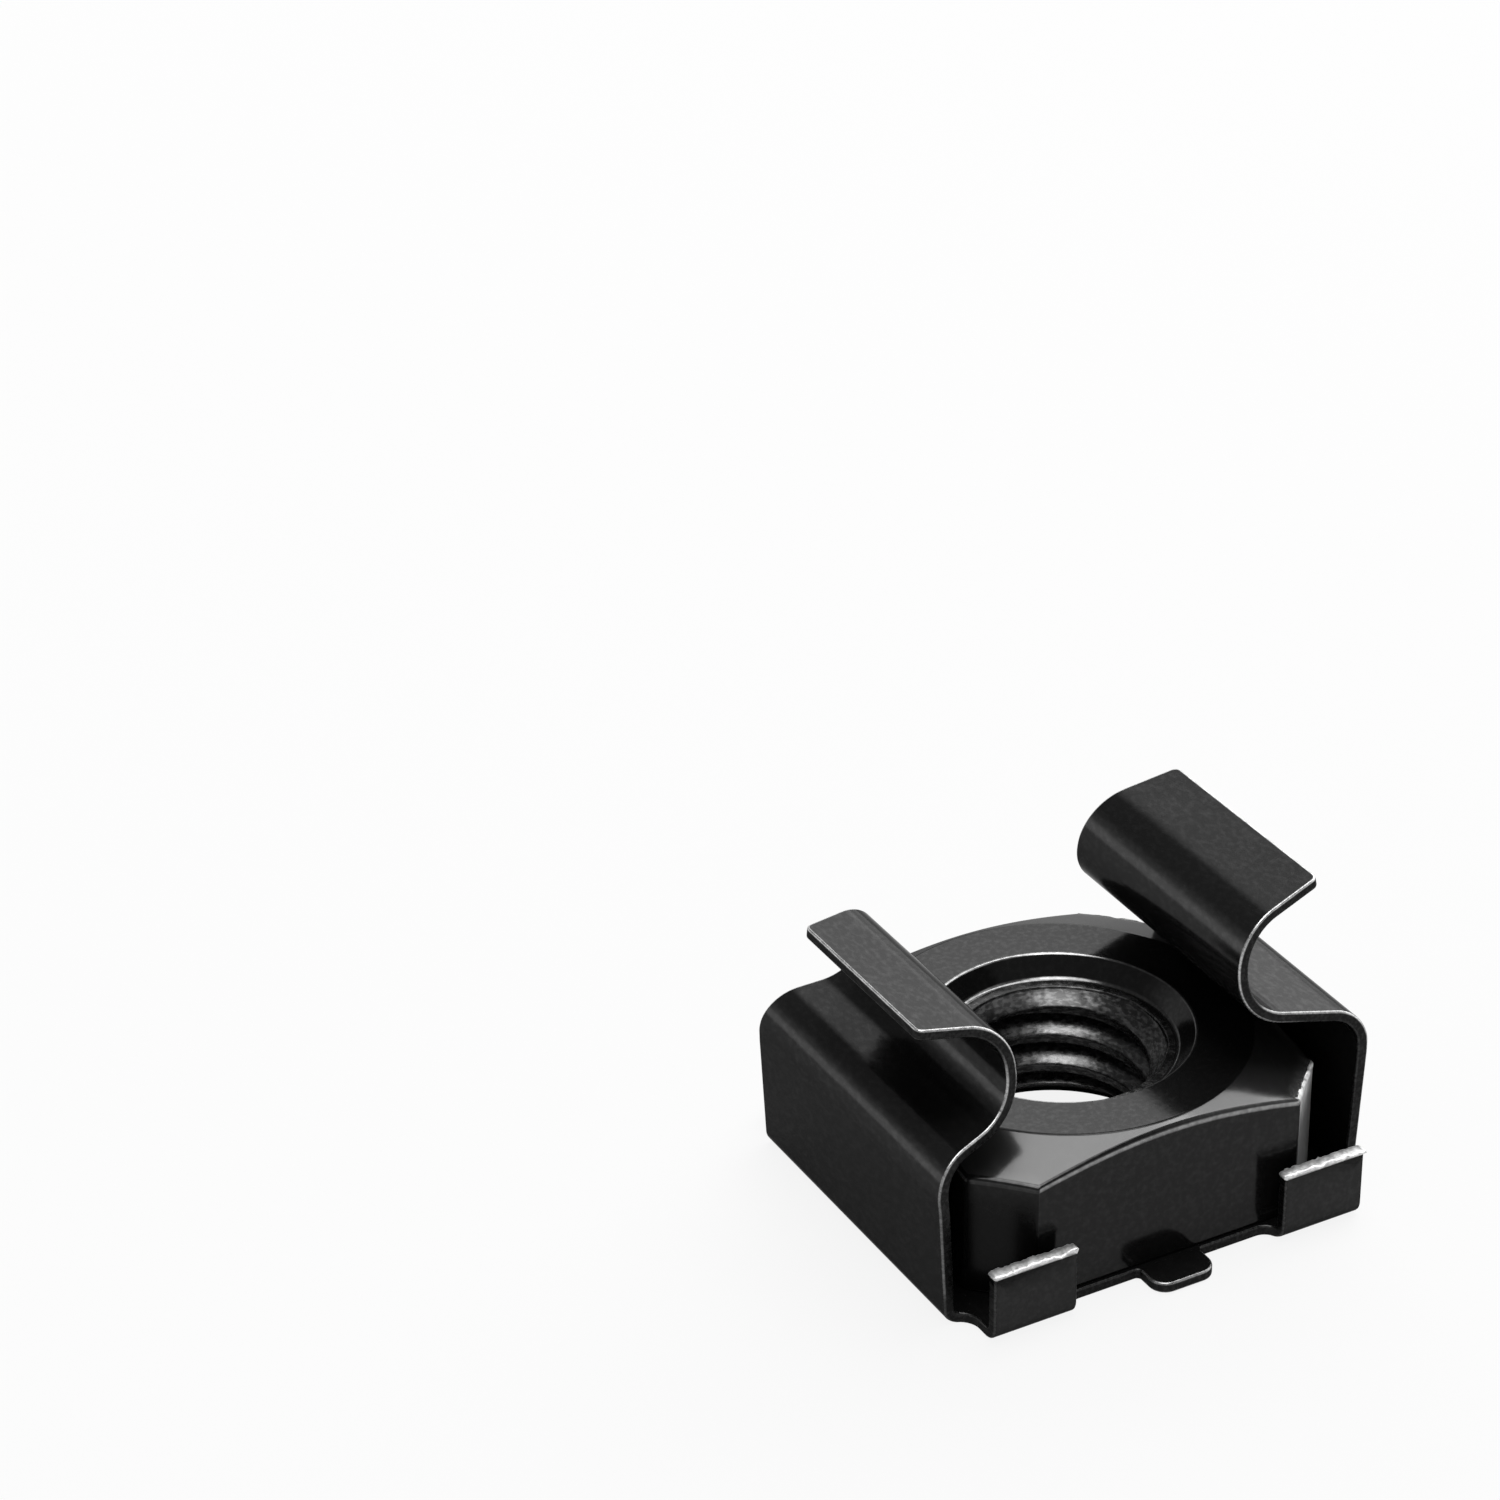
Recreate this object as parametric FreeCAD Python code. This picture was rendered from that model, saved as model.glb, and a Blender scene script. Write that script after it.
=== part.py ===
import FreeCAD, Part
import math
import os

# Rack cage nut: a square M6 nut held loosely in a folded spring-steel cage.
# Millimetres. X runs across the two ears, Y along them, Z up the thread axis.
# The origin is on the thread axis, on the underside of the cage's base.

V = FreeCAD.Vector

# Sheet that the cage is folded from
SHEET = 0.33
FOLD_RADIUS = 0.12

# M6 thread. The bore is modelled at the thread's minor radius, half a pitch in.
THREAD_RADIUS = 3.0
THREAD_PITCH = 1.0

# Nut
NUT_WIDTH = 11.2
NUT_HEIGHT = 4.3
NUT_CORNER_FLAT = 2.0
NUT_TOP_INSET = 0.3
NUT_TOP_SLOPE_DEG = 21.0
ENTRY_RELIEF = 0.75
ENTRY_FLOOR_RELIEF = 0.3
ENTRY_DEPTH = 0.6
ENTRY_LEDGE_DEG = 30.0
EXIT_RELIEF = 0.15
EXIT_DEPTH = 0.55

# Cage base, its four tabs and its two tongues
NUT_SIDE_GAP = 0.7
WALL_LENGTH = 9.9
NUT_END_GAP = 0.12
TAB_GAP = 0.38
TAB_WIDTH = 2.6
TAB_SPACING = 9.26
TAB_HEIGHT = 2.2
TONGUE_WIDTH = 1.95
TONGUE_REACH = 1.0
TONGUE_CORNER = 0.5
RELIEF_RADIUS = 0.6
TAB_ROOT_RADIUS = 0.45
SCREW_GAP = 0.6

# Walls and ears. The left ear sits lower and is bent further out than the right one.
WALL_LEAN_DEG = 3.2
LIP_CORNER = 0.25
LEFT_SHOULDER_GAP = 0.09
LEFT_SHOULDER_SLOPE_DEG = 11.5
LEFT_SHOULDER_RADIUS = 1.1
LEFT_NECK = 3.98
LEFT_NECK_HEIGHT = 2.42
LEFT_LOWER_RADIUS = 1.45
LEFT_UPPER_RADIUS = 1.2
LEFT_LIP_SLOPE_DEG = 5.0
LEFT_LIP_REACH = 2.44
LEFT_LIP_LENGTH = 6.0
RIGHT_SHOULDER_GAP = 0.7
RIGHT_SHOULDER_SLOPE_DEG = 11.0
RIGHT_SHOULDER_RADIUS = 1.0
RIGHT_NECK = 3.2
RIGHT_NECK_HEIGHT = 2.45
RIGHT_LOWER_RADIUS = 1.4
RIGHT_UPPER_RADIUS = 1.55
RIGHT_LIP_SLOPE_DEG = 13.5
RIGHT_LIP_REACH = 2.78
RIGHT_LIP_LENGTH = 6.9

# Directions and lengths that differ by less than this count as the same
TOLERANCE = 0.001

# Sizes that follow from the ones above
NUT_HALF = NUT_WIDTH / 2
NUT_TOP = SHEET + NUT_HEIGHT
NUT_TOP_FLAT_RADIUS = NUT_HALF - NUT_TOP_INSET
THREAD_MINOR_RADIUS = THREAD_RADIUS - THREAD_PITCH / 2
ENTRY_RADIUS = THREAD_RADIUS + ENTRY_RELIEF
ENTRY_FLOOR_RADIUS = THREAD_RADIUS + ENTRY_FLOOR_RELIEF
EXIT_RADIUS = THREAD_RADIUS + EXIT_RELIEF
SCREW_HOLE_RADIUS = THREAD_RADIUS + SCREW_GAP
LEAN = math.radians(WALL_LEAN_DEG)
FOLD_CENTRE_RADIUS = FOLD_RADIUS + SHEET / 2
FOLD_OUTER_RADIUS = FOLD_RADIUS + SHEET
WALL_FOOT = NUT_HALF + NUT_SIDE_GAP + SHEET / 2
WALL_HALF = WALL_LENGTH / 2
EDGE_Y = NUT_HALF + NUT_END_GAP
TAB_FACE_Y = NUT_HALF + TAB_GAP + SHEET
TAB_INNER_X = (TAB_SPACING - TAB_WIDTH) / 2
TAB_OUTER_X = (TAB_SPACING + TAB_WIDTH) / 2

# One ear: its sizes as they are read by the functions below
LEFT_EAR = {
    "shoulder_z": NUT_TOP + LEFT_SHOULDER_GAP + SHEET / 2,
    "shoulder_slope": math.radians(LEFT_SHOULDER_SLOPE_DEG),
    "neck_x": LEFT_NECK,
    "neck_height": LEFT_NECK_HEIGHT,
    "lip_slope": math.radians(LEFT_LIP_SLOPE_DEG),
    "lip_reach": LEFT_LIP_REACH,
    "lip_length": LEFT_LIP_LENGTH,
    "radii": [FOLD_CENTRE_RADIUS, LEFT_SHOULDER_RADIUS, LEFT_LOWER_RADIUS, LEFT_UPPER_RADIUS],
}
RIGHT_EAR = {
    "shoulder_z": NUT_TOP + RIGHT_SHOULDER_GAP + SHEET / 2,
    "shoulder_slope": math.radians(RIGHT_SHOULDER_SLOPE_DEG),
    "neck_x": RIGHT_NECK,
    "neck_height": RIGHT_NECK_HEIGHT,
    "lip_slope": math.radians(RIGHT_LIP_SLOPE_DEG),
    "lip_reach": RIGHT_LIP_REACH,
    "lip_length": RIGHT_LIP_LENGTH,
    "radii": [FOLD_CENTRE_RADIUS, RIGHT_SHOULDER_RADIUS, RIGHT_LOWER_RADIUS, RIGHT_UPPER_RADIUS],
}


def rounded_corner(corner, before, after, radius):
    """Start, middle and end of the arc that rounds a corner of a path."""
    back = (before - corner).normalize()
    ahead = (after - corner).normalize()
    half_angle = back.getAngle(ahead) / 2
    setback = radius / math.tan(half_angle)
    bisector = (back + ahead).normalize()
    centre = corner + bisector * (radius / math.sin(half_angle))
    middle = centre - bisector * radius
    return corner + back * setback, middle, corner + ahead * setback


def bent_path(corners, radii):
    """Edges of a path with straight runs and a tangent arc at each inner corner."""
    edges = []
    start = corners[0]
    for index, radius in enumerate(radii, 1):
        before, corner, after = corners[index - 1:index + 2]
        first, middle, last = rounded_corner(corner, before, after, radius)
        edges.append(Part.LineSegment(start, first).toShape())
        edges.append(Part.Arc(first, middle, last).toShape())
        start = last
    edges.append(Part.LineSegment(start, corners[-1]).toShape())
    return edges


def strip_section(edges):
    """Face of the sheet's thickness, centred on a path in the XZ plane."""
    sides = []
    for sign in (1, -1):
        side = []
        for edge in edges:
            side.append(offset_edge(edge, sign * SHEET / 2))
        sides.append(side)
    outer, inner = sides
    caps = [
        Part.LineSegment(end_point(outer[-1], 1), end_point(inner[-1], 1)).toShape(),
        Part.LineSegment(end_point(outer[0], 0), end_point(inner[0], 0)).toShape(),
    ]
    return Part.Face(Part.Wire(Part.__sortEdges__(outer + inner + caps)))


def end_point(edge, which):
    """Start (0) or end (1) of an edge."""
    return edge.valueAt((edge.FirstParameter, edge.LastParameter)[which])


def left_of(edge, share):
    """Point at a share of an edge's length, and the direction to the left of its run."""
    parameter = edge.FirstParameter + share * (edge.LastParameter - edge.FirstParameter)
    along = edge.tangentAt(parameter)
    return edge.valueAt(parameter), V(0, -1, 0).cross(along)


def offset_edge(edge, distance):
    """A straight run or an arc of the XZ plane, moved sideways by a distance."""
    moved = [point + side * distance for point, side in (left_of(edge, share) for share in (0, 0.5, 1))]
    if isinstance(edge.Curve, Part.Line):
        return Part.LineSegment(moved[0], moved[2]).toShape()
    return Part.Arc(*moved).toShape()


def cross_section(point, along, length):
    """Rectangle of the sheet's thickness and a length in Y, square to a path."""
    side = V(0, 1, 0).cross(along).normalize() * (SHEET / 2)
    reach = V(0, length / 2, 0)
    corners = [point - side - reach, point + side - reach, point + side + reach, point - side + reach]
    return Part.makePolygon(corners + corners[:1])


def side_corners(sizes):
    """Corners of the cage's section, from the middle of the base to the tip of a lip."""
    foot = V(WALL_FOOT, 0, SHEET / 2)
    wall_rise = sizes["shoulder_z"] - foot.z
    shoulder = foot + V(wall_rise * math.tan(LEAN), 0, wall_rise)
    shoulder_run = shoulder.x - sizes["neck_x"]
    lower = shoulder + V(-shoulder_run, 0, shoulder_run * math.tan(sizes["shoulder_slope"]))
    upper = lower + V(0, 0, sizes["neck_height"])
    tip = upper + V(sizes["lip_reach"], 0, sizes["lip_reach"] * math.tan(sizes["lip_slope"]))
    return [V(0, 0, SHEET / 2), foot, shoulder, lower, upper, tip]


def ear(path, lip_length):
    """Shoulder, neck and lip: a strip that narrows evenly from the wall's head to its tip."""
    spine = Part.Wire(path)
    start, end = end_point(path[0], 0), end_point(path[-1], 1)
    sections = [
        cross_section(start, path[0].tangentAt(path[0].FirstParameter), WALL_LENGTH),
        cross_section(end, path[-1].tangentAt(path[-1].LastParameter), lip_length),
    ]
    strip = spine.makePipeShell(sections, True, False)
    tip_edges = [edge for edge in strip.Edges if is_tip_corner(edge, end)]
    return strip.makeFillet(LIP_CORNER, tip_edges)


def is_tip_corner(edge, tip):
    """True for the two edges across the sheet's thickness at the ends of a lip's tip."""
    middle = edge.CenterOfMass
    return math.hypot(middle.x - tip.x, middle.z - tip.z) < TOLERANCE


def wall_and_ear(sizes):
    """One side of the cage on +X: half of the base with its wall, and the ear on it."""
    path = bent_path(side_corners(sizes), sizes["radii"])
    wall_edges = path[:3]
    ear_edges = path[3:]
    long_half = WALL_HALF + RELIEF_RADIUS
    wall = strip_section(wall_edges).extrude(V(0, 2 * long_half, 0))
    wall.translate(V(0, -long_half, 0))
    return wall, ear(ear_edges, sizes["lip_length"])


def mirrored(shape, normal):
    """Mirror image of a shape in a plane through the origin."""
    return shape.mirror(V(0, 0, 0), normal)


def tab_strip():
    """Base strip along Y with both ends folded up, as wide as the tabs reach."""
    fold = V(0, TAB_FACE_Y - SHEET / 2, SHEET / 2)
    corners = [V(0, 0, SHEET / 2), V(fold.y, 0, fold.z), V(fold.y, 0, TAB_HEIGHT)]
    section = strip_section(bent_path(corners, [FOLD_CENTRE_RADIUS]))
    half = section.extrude(V(0, 2 * TAB_OUTER_X, 0)).translated(V(0, -TAB_OUTER_X, 0))
    half.rotate(V(0, 0, 0), V(0, 0, 1), 90)
    return half.fuse(mirrored(half, V(0, 1, 0)))


def block(x0, x1, y0, y1, z0, z1):
    """Box between two corners."""
    return Part.makeBox(x1 - x0, y1 - y0, z1 - z0, V(x0, y0, z0))


def inner_corner(x, y, radius, x_side, y_side):
    """Web that rounds an inner corner of the blank with the given radius."""
    web_x = sorted((x, x + x_side * radius))
    web_y = sorted((y, y + y_side * radius))
    web = block(*web_x, *web_y, 0, FOLD_OUTER_RADIUS)
    centre = V(x + x_side * radius, y + y_side * radius, 0)
    return web.cut(Part.makeCylinder(radius, FOLD_OUTER_RADIUS, centre))


def tongue():
    """Rounded tongue in the middle of the base's edge on +Y."""
    half = TONGUE_WIDTH / 2
    end_y = EDGE_Y + TONGUE_REACH
    plate = block(-half, half, 0, end_y, 0, SHEET)
    corners = [edge for edge in plate.Edges if is_upright(edge) and edge.CenterOfMass.y > EDGE_Y]
    return plate.makeFillet(TONGUE_CORNER, corners)


def is_upright(edge):
    """True for an edge that runs along Z."""
    return 1 - abs(edge.tangentAt(edge.FirstParameter).z) < TOLERANCE


def blank_outline():
    """Everything that the stamped outline leaves standing, reaching past walls and tabs."""
    high = NUT_TOP + NUT_HEIGHT
    across = NUT_WIDTH
    parts = [
        block(-across, across, -WALL_HALF, WALL_HALF, 0, high),
        block(-TAB_OUTER_X, TAB_OUTER_X, -EDGE_Y, EDGE_Y, 0, SHEET),
    ]
    for x_side in (1, -1):
        for y_side in (1, -1):
            tab_x = sorted((x_side * TAB_INNER_X, x_side * TAB_OUTER_X))
            tab_y = sorted((y_side * WALL_HALF, y_side * TAB_FACE_Y))
            parts.append(block(*tab_x, *tab_y, 0, high))
            parts.append(
                inner_corner(x_side * TAB_OUTER_X, y_side * WALL_HALF, RELIEF_RADIUS, x_side, y_side)
            )
            parts.append(
                inner_corner(x_side * TAB_INNER_X, y_side * EDGE_Y, TAB_ROOT_RADIUS, -x_side, y_side)
            )
    return parts[0].fuse(parts[1:])


def spring_cage():
    """Cage folded from one sheet: base, four tabs, two tongues, two walls and two ears."""
    right_wall, right_ear = wall_and_ear(RIGHT_EAR)
    left_wall, left_ear = wall_and_ear(LEFT_EAR)
    across = V(1, 0, 0)
    folded = right_wall.fuse([mirrored(left_wall, across), tab_strip()])
    stamped = folded.common(blank_outline())
    front_tongue = tongue()
    back_tongue = mirrored(front_tongue, V(0, 1, 0))
    cage = stamped.fuse([right_ear, mirrored(left_ear, across), front_tongue, back_tongue])
    cage = cage.cut(Part.makeCylinder(SCREW_HOLE_RADIUS, SHEET, V(0, 0, 0)))
    return cage.removeSplitter()


def bore_tool():
    """Turned cutter for the hole: deep bevelled entry, thread's minor bore and exit bevel."""
    ledge = (ENTRY_FLOOR_RADIUS - THREAD_MINOR_RADIUS) * math.tan(math.radians(ENTRY_LEDGE_DEG))
    entry_z = NUT_TOP - ENTRY_DEPTH
    profile = [
        V(0, 0, SHEET),
        V(EXIT_RADIUS, 0, SHEET),
        V(THREAD_MINOR_RADIUS, 0, SHEET + EXIT_DEPTH),
        V(THREAD_MINOR_RADIUS, 0, entry_z - ledge),
        V(ENTRY_FLOOR_RADIUS, 0, entry_z),
        V(ENTRY_RADIUS, 0, NUT_TOP),
        V(0, 0, NUT_TOP),
    ]
    face = Part.Face(Part.makePolygon(profile + profile[:1]))
    return face.revolve(V(0, 0, 0), V(0, 0, 1), 360)


def top_bevel():
    """Turned envelope whose conical top gives each side face its arched upper edge."""
    reach = NUT_HALF * math.sqrt(2)
    fall = (reach - NUT_TOP_FLAT_RADIUS) * math.tan(math.radians(NUT_TOP_SLOPE_DEG))
    profile = [
        V(0, 0, SHEET),
        V(reach, 0, SHEET),
        V(reach, 0, NUT_TOP - fall),
        V(NUT_TOP_FLAT_RADIUS, 0, NUT_TOP),
        V(0, 0, NUT_TOP),
    ]
    face = Part.Face(Part.makePolygon(profile + profile[:1]))
    return face.revolve(V(0, 0, 0), V(0, 0, 1), 360)


def square_nut():
    """Square nut with flattened corners, bevelled top and bevelled M6 hole."""
    blank = block(-NUT_HALF, NUT_HALF, -NUT_HALF, NUT_HALF, SHEET, NUT_TOP)
    corners = [edge for edge in blank.Edges if is_upright(edge)]
    blank = blank.makeChamfer(NUT_CORNER_FLAT / math.sqrt(2), corners)
    return blank.common(top_bevel()).cut(bore_tool())


def write_step(name, shape):
    """Write one piece to parts/NAME.step and print its size."""
    box = shape.BoundBox
    print(name, len(shape.Solids), round(shape.Volume, 3), shape.isValid())
    print("  ", [round(size, 3) for size in (box.XLength, box.YLength, box.ZLength)])
    shape.exportStep(os.path.join("parts", name + ".step"))


os.makedirs("parts", exist_ok=True)
write_step("square_nut", square_nut())
write_step("spring_cage", spring_cage())
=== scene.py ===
import logging
import math
from dataclasses import dataclass, field, replace
from enum import Enum, IntEnum

import bmesh
import bpy
import numpy as np
from mathutils import Matrix, Vector, noise


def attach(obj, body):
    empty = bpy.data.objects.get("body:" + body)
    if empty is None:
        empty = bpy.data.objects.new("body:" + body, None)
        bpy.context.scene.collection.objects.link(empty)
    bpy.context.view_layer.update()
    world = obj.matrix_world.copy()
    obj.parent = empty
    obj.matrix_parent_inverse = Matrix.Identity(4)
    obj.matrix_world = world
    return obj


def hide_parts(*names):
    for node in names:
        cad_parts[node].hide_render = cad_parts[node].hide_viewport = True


# Rack cage nut: a square M6 nut held loosely in a folded spring-steel cage.
# Lengths are millimetres until they reach a mesh, a lamp or the camera.
# X runs from ear to ear, Y along the ears, Z up the thread. The floor is at Z = 0.

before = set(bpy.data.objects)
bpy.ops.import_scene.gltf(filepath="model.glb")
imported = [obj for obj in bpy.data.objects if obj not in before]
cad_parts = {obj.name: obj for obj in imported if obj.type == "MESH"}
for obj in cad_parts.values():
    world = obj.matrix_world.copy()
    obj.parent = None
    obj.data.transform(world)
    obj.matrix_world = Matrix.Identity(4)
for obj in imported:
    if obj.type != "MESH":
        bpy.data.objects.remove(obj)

LOG = logging.getLogger("cage_nut")
MM = 0.001
BODY = "root"
WHITE = "#ffffff"
FULL_TURN = 2 * math.pi
# Curvature, per millimetre, below which a line counts as straight.
STRAIGHT = 1e-9
# Length below which a normal is left as it is.
NO_LENGTH = 1e-12


class Slot(Enum):
    """Material slots of the record that the pieces take their finish from."""

    NUT = "plated_nut"
    CAGE = "plated_spring_steel"


class Side(Enum):
    """The two sides of the cage, with the direction of X on each."""

    RIGHT = 1
    LEFT = -1


class Zone(Enum):
    """Faces of the nut, in the order in which its rings reach them."""

    UNDERSIDE = "underside"
    EDGE = "rounded edge"
    SIDE = "side"
    CONE = "bevelled top"
    FLAT = "flat top"
    ENTRY = "entry"
    THREAD = "thread"


class NutSlot(IntEnum):
    """Order of the finishes on the nut's mesh."""

    FORGED = 0
    TORN_CORNER = 1
    THREAD = 2
    BEVEL = 3
    CORNER = 4


class CageSlot(IntEnum):
    """Order of the finishes on the cage's mesh."""

    STRIP = 0
    PUNCHED = 1
    BURR = 2


class Blend(IntEnum):
    """Sockets of the colour mix node, whose names other sockets of it share."""

    SHARE = 0
    COLOUR = 2
    FIRST = 6
    SECOND = 7


def linear(code: str) -> tuple[float, float, float, float]:
    """Turn an sRGB hex colour into linear values.

    Args:
        code: Colour such as "#2b2b2c".

    Returns:
        Red, green, blue and an alpha of one.
    """
    values = [int(code[i : i + 2], 16) / 255 for i in (1, 3, 5)]
    return (
        *(v / 12.92 if v <= 0.04045 else ((v + 0.055) / 1.055) ** 2.4 for v in values),
        1.0,
    )


def per_metre(size_mm: float) -> float:
    """Texture scale at which one cell of a pattern measures size_mm on the piece."""
    return 1 / (size_mm * MM)


def ramp(value: float | np.ndarray, start: float, end: float) -> float | np.ndarray:
    """Share of the way from start to end that a value has come, held from 0 to 1."""
    return np.clip((value - start) / (end - start), 0.0, 1.0)


def add_node(
    tree: bpy.types.NodeTree, kind: str, settings: dict | None = None, links: dict | None = None
) -> bpy.types.Node:
    """Add a node with its settings and its incoming links.

    Args:
        tree: Node tree that gets the node.
        kind: Blender's name for the node type.
        settings: Values by the name or number of an input, or the name of a property.
        links: Sockets by the name or number of the input that each one feeds.

    Returns:
        The new node.
    """
    node = tree.nodes.new(kind)
    for key, value in (settings or {}).items():
        if isinstance(key, int) or key in node.inputs:
            node.inputs[key].default_value = value
        else:
            setattr(node, key, value)
    for key, socket in (links or {}).items():
        tree.links.new(socket, node.inputs[key])
    return node


@dataclass(frozen=True)
class PlatedSteel:
    """Steel under bright black zinc with a clear seal.

    The seal keeps the reflections crisp and the black layer keeps them dim, so the
    face shows its surroundings in charcoal greys. The film darkens towards grazing
    angles, which the edge tint gives. It also scatters a little light, so that no part
    is wholly black, and the share of metal stays below one for that. Rubbed edges and
    fine flecks let a greyer steel through. The same rubbed colour also paints
    highlights and glints where a piece's rub share stands for light.
    """

    name: str
    base: str
    # Colour of rubbed steel, which also paints highlights and glints.
    rubbed_and_highlight: str
    roughness: float
    roughness_spread: float
    grain_mm: tuple[float, float, float]
    ripple_mm: float
    ripple_depth_mm: float
    grain_depth_mm: float
    metal: float = 0.74
    edge_tint: float = 0.53
    fleck: float = 0.03
    grain_detail: float = 3.0
    ripple_detail: float = 1.0
    # Levels of the grain's noise between which the wear goes from patchy to full.
    patchy_from: float = 0.35
    patchy_to: float = 0.65
    least_wear: float = 0.6
    # Levels of the grain's noise between which a fleck grows.
    fleck_from: float = 0.45
    fleck_to: float = 0.75

    def material(self) -> bpy.types.Material:
        """Build the node material.

        Returns:
            A metal whose colour, gloss and bump vary over the surface.
        """
        material = bpy.data.materials.new(self.name)
        material.use_nodes = True
        tree = material.node_tree
        shader = tree.nodes["Principled BSDF"]
        shader.inputs["Metallic"].default_value = self.metal
        shader.inputs["Specular IOR Level"].default_value = 0.0
        shader.inputs["Specular Tint"].default_value = (*[self.edge_tint] * 3, 1.0)
        place = add_node(tree, "ShaderNodeTexCoord").outputs["Object"]
        cells = {"Scale": tuple(per_metre(size) for size in self.grain_mm)}
        stretched = add_node(tree, "ShaderNodeMapping", cells, {"Vector": place}).outputs[0]
        grain = add_node(
            tree,
            "ShaderNodeTexNoise",
            {"Scale": 1.0, "Detail": self.grain_detail},
            {"Vector": stretched},
        ).outputs[0]
        gloss = add_node(
            tree,
            "ShaderNodeMapRange",
            {
                "To Min": self.roughness - self.roughness_spread,
                "To Max": self.roughness + self.roughness_spread,
            },
            {"Value": grain},
        ).outputs[0]
        tree.links.new(gloss, shader.inputs["Roughness"])
        tree.links.new(self.colour(tree, grain), shader.inputs["Base Color"])
        tree.links.new(self.relief(tree, place, grain), shader.inputs["Normal"])
        return material

    def colour(
        self, tree: bpy.types.NodeTree, grain: bpy.types.NodeSocket
    ) -> bpy.types.NodeSocket:
        """Let the steel through where the piece is rubbed or a highlight is painted, and in fine
        flecks.

        Args:
            tree: Node tree of the material.
            grain: Noise of the fine grain.

        Returns:
            A socket with the colour.
        """
        # The rub attribute holds rubbed metal and painted highlights alike.
        wear_and_highlight = add_node(tree, "ShaderNodeAttribute", {"attribute_name": "rub_and_highlight"}).outputs["Fac"]
        patchy = add_node(
            tree,
            "ShaderNodeMapRange",
            {
                "From Min": self.patchy_from,
                "From Max": self.patchy_to,
                "To Min": self.least_wear,
                "To Max": 1.0,
            },
            {"Value": grain},
        ).outputs[0]
        flecks = add_node(
            tree,
            "ShaderNodeMapRange",
            {
                "From Min": self.fleck_from,
                "From Max": self.fleck_to,
                "To Min": 0.0,
                "To Max": self.fleck,
            },
            {"Value": grain},
        ).outputs[0]
        share = add_node(
            tree,
            "ShaderNodeMath",
            {"operation": "MULTIPLY_ADD"},
            {0: wear_and_highlight, 1: patchy, 2: flecks},
        ).outputs[0]
        colours = {Blend.FIRST: linear(self.base), Blend.SECOND: linear(self.rubbed_and_highlight)}
        mix = add_node(
            tree, "ShaderNodeMix", {"data_type": "RGBA", **colours}, {Blend.SHARE: share}
        )
        return mix.outputs[Blend.COLOUR]

    def relief(
        self,
        tree: bpy.types.NodeTree,
        place: bpy.types.NodeSocket,
        grain: bpy.types.NodeSocket,
    ) -> bpy.types.NodeSocket:
        """Bump the face with its wide ripple and then with its fine grain.

        Args:
            tree: Node tree of the material.
            place: Place on the piece.
            grain: Noise of the fine grain.

        Returns:
            A socket with the bumped normal.
        """
        ripple = add_node(
            tree,
            "ShaderNodeTexNoise",
            {"Scale": per_metre(self.ripple_mm), "Detail": self.ripple_detail},
            {"Vector": place},
        ).outputs[0]
        normal = {}
        for height, depth_mm in ((ripple, self.ripple_depth_mm), (grain, self.grain_depth_mm)):
            depth = {"Strength": 1.0, "Distance": depth_mm * MM}
            bump = add_node(tree, "ShaderNodeBump", depth, {"Height": height, **normal})
            normal = {"Normal": bump.outputs[0]}
        return normal["Normal"]


# The finishes. The grain of plated steel is 0.02 to 0.05 mm wide and would vanish in the
# picture, where a millimetre is some 44 pixels, so each grain_mm is drawn about four times
# as coarse, and longer along the rolls or the cut. The ripples are at their real size.

# Upset-forged and barrel-plated: even, nearly flat faces with a faint orange peel.
FORGED_NUT_FINISH = PlatedSteel(
    name="forged_steel_black_zinc",
    base="#2d2d2d",
    rubbed_and_highlight="#9c9c9c",
    roughness=0.13,
    roughness_spread=0.03,
    grain_mm=(0.15, 0.15, 0.15),
    ripple_mm=1.4,
    ripple_depth_mm=0.005,
    grain_depth_mm=0.0006,
    fleck=0.035,
)
# Bevel pressed by the die: coarser and a little bare, so it reads paler and softer.
DIE_BEVEL_FINISH = PlatedSteel(
    name="die_pressed_bevel_black_zinc",
    base="#4e4e4e",
    rubbed_and_highlight="#8c8c8c",
    roughness=0.15,
    roughness_spread=0.03,
    grain_mm=(0.2, 0.2, 0.2),
    ripple_mm=1.1,
    ripple_depth_mm=0.006,
    grain_depth_mm=0.0008,
    fleck=0.02,
)
# Corners left as forged: duller, and darker as a painted shade, since the front left corner sits in
# the shade of the left ear.
SHADED_CORNER_FINISH = PlatedSteel(
    name="corner_black_zinc_painted_shade",
    base="#202020",
    rubbed_and_highlight="#8c8c8c",
    roughness=0.24,
    roughness_spread=0.05,
    grain_mm=(0.15, 0.15, 0.15),
    ripple_mm=0.9,
    ripple_depth_mm=0.006,
    grain_depth_mm=0.0008,
    fleck=0.01,
)
# Where the corners were cut the face is torn, so it scatters light and reads greyer.
CUT_CORNER_FINISH = PlatedSteel(
    name="sheared_forging_black_zinc",
    base="#7a7a7a",
    rubbed_and_highlight="#ffffff",
    roughness=0.45,
    roughness_spread=0.12,
    grain_mm=(0.12, 0.12, 0.4),
    ripple_mm=0.45,
    ripple_depth_mm=0.02,
    grain_depth_mm=0.006,
    metal=0.4,
)
# Tapped thread: short chatter marks run round the flanks. Its rubbed colour paints the glints of the
# upper flanks between the turns.
TAPPED_THREAD_FINISH = PlatedSteel(
    name="tapped_steel_black_zinc",
    base="#343434",
    rubbed_and_highlight="#b4b4b4",
    roughness=0.27,
    roughness_spread=0.12,
    grain_mm=(0.22, 0.22, 0.07),
    ripple_mm=0.3,
    ripple_depth_mm=0.016,
    grain_depth_mm=0.004,
    fleck=0.2,
)
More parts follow.
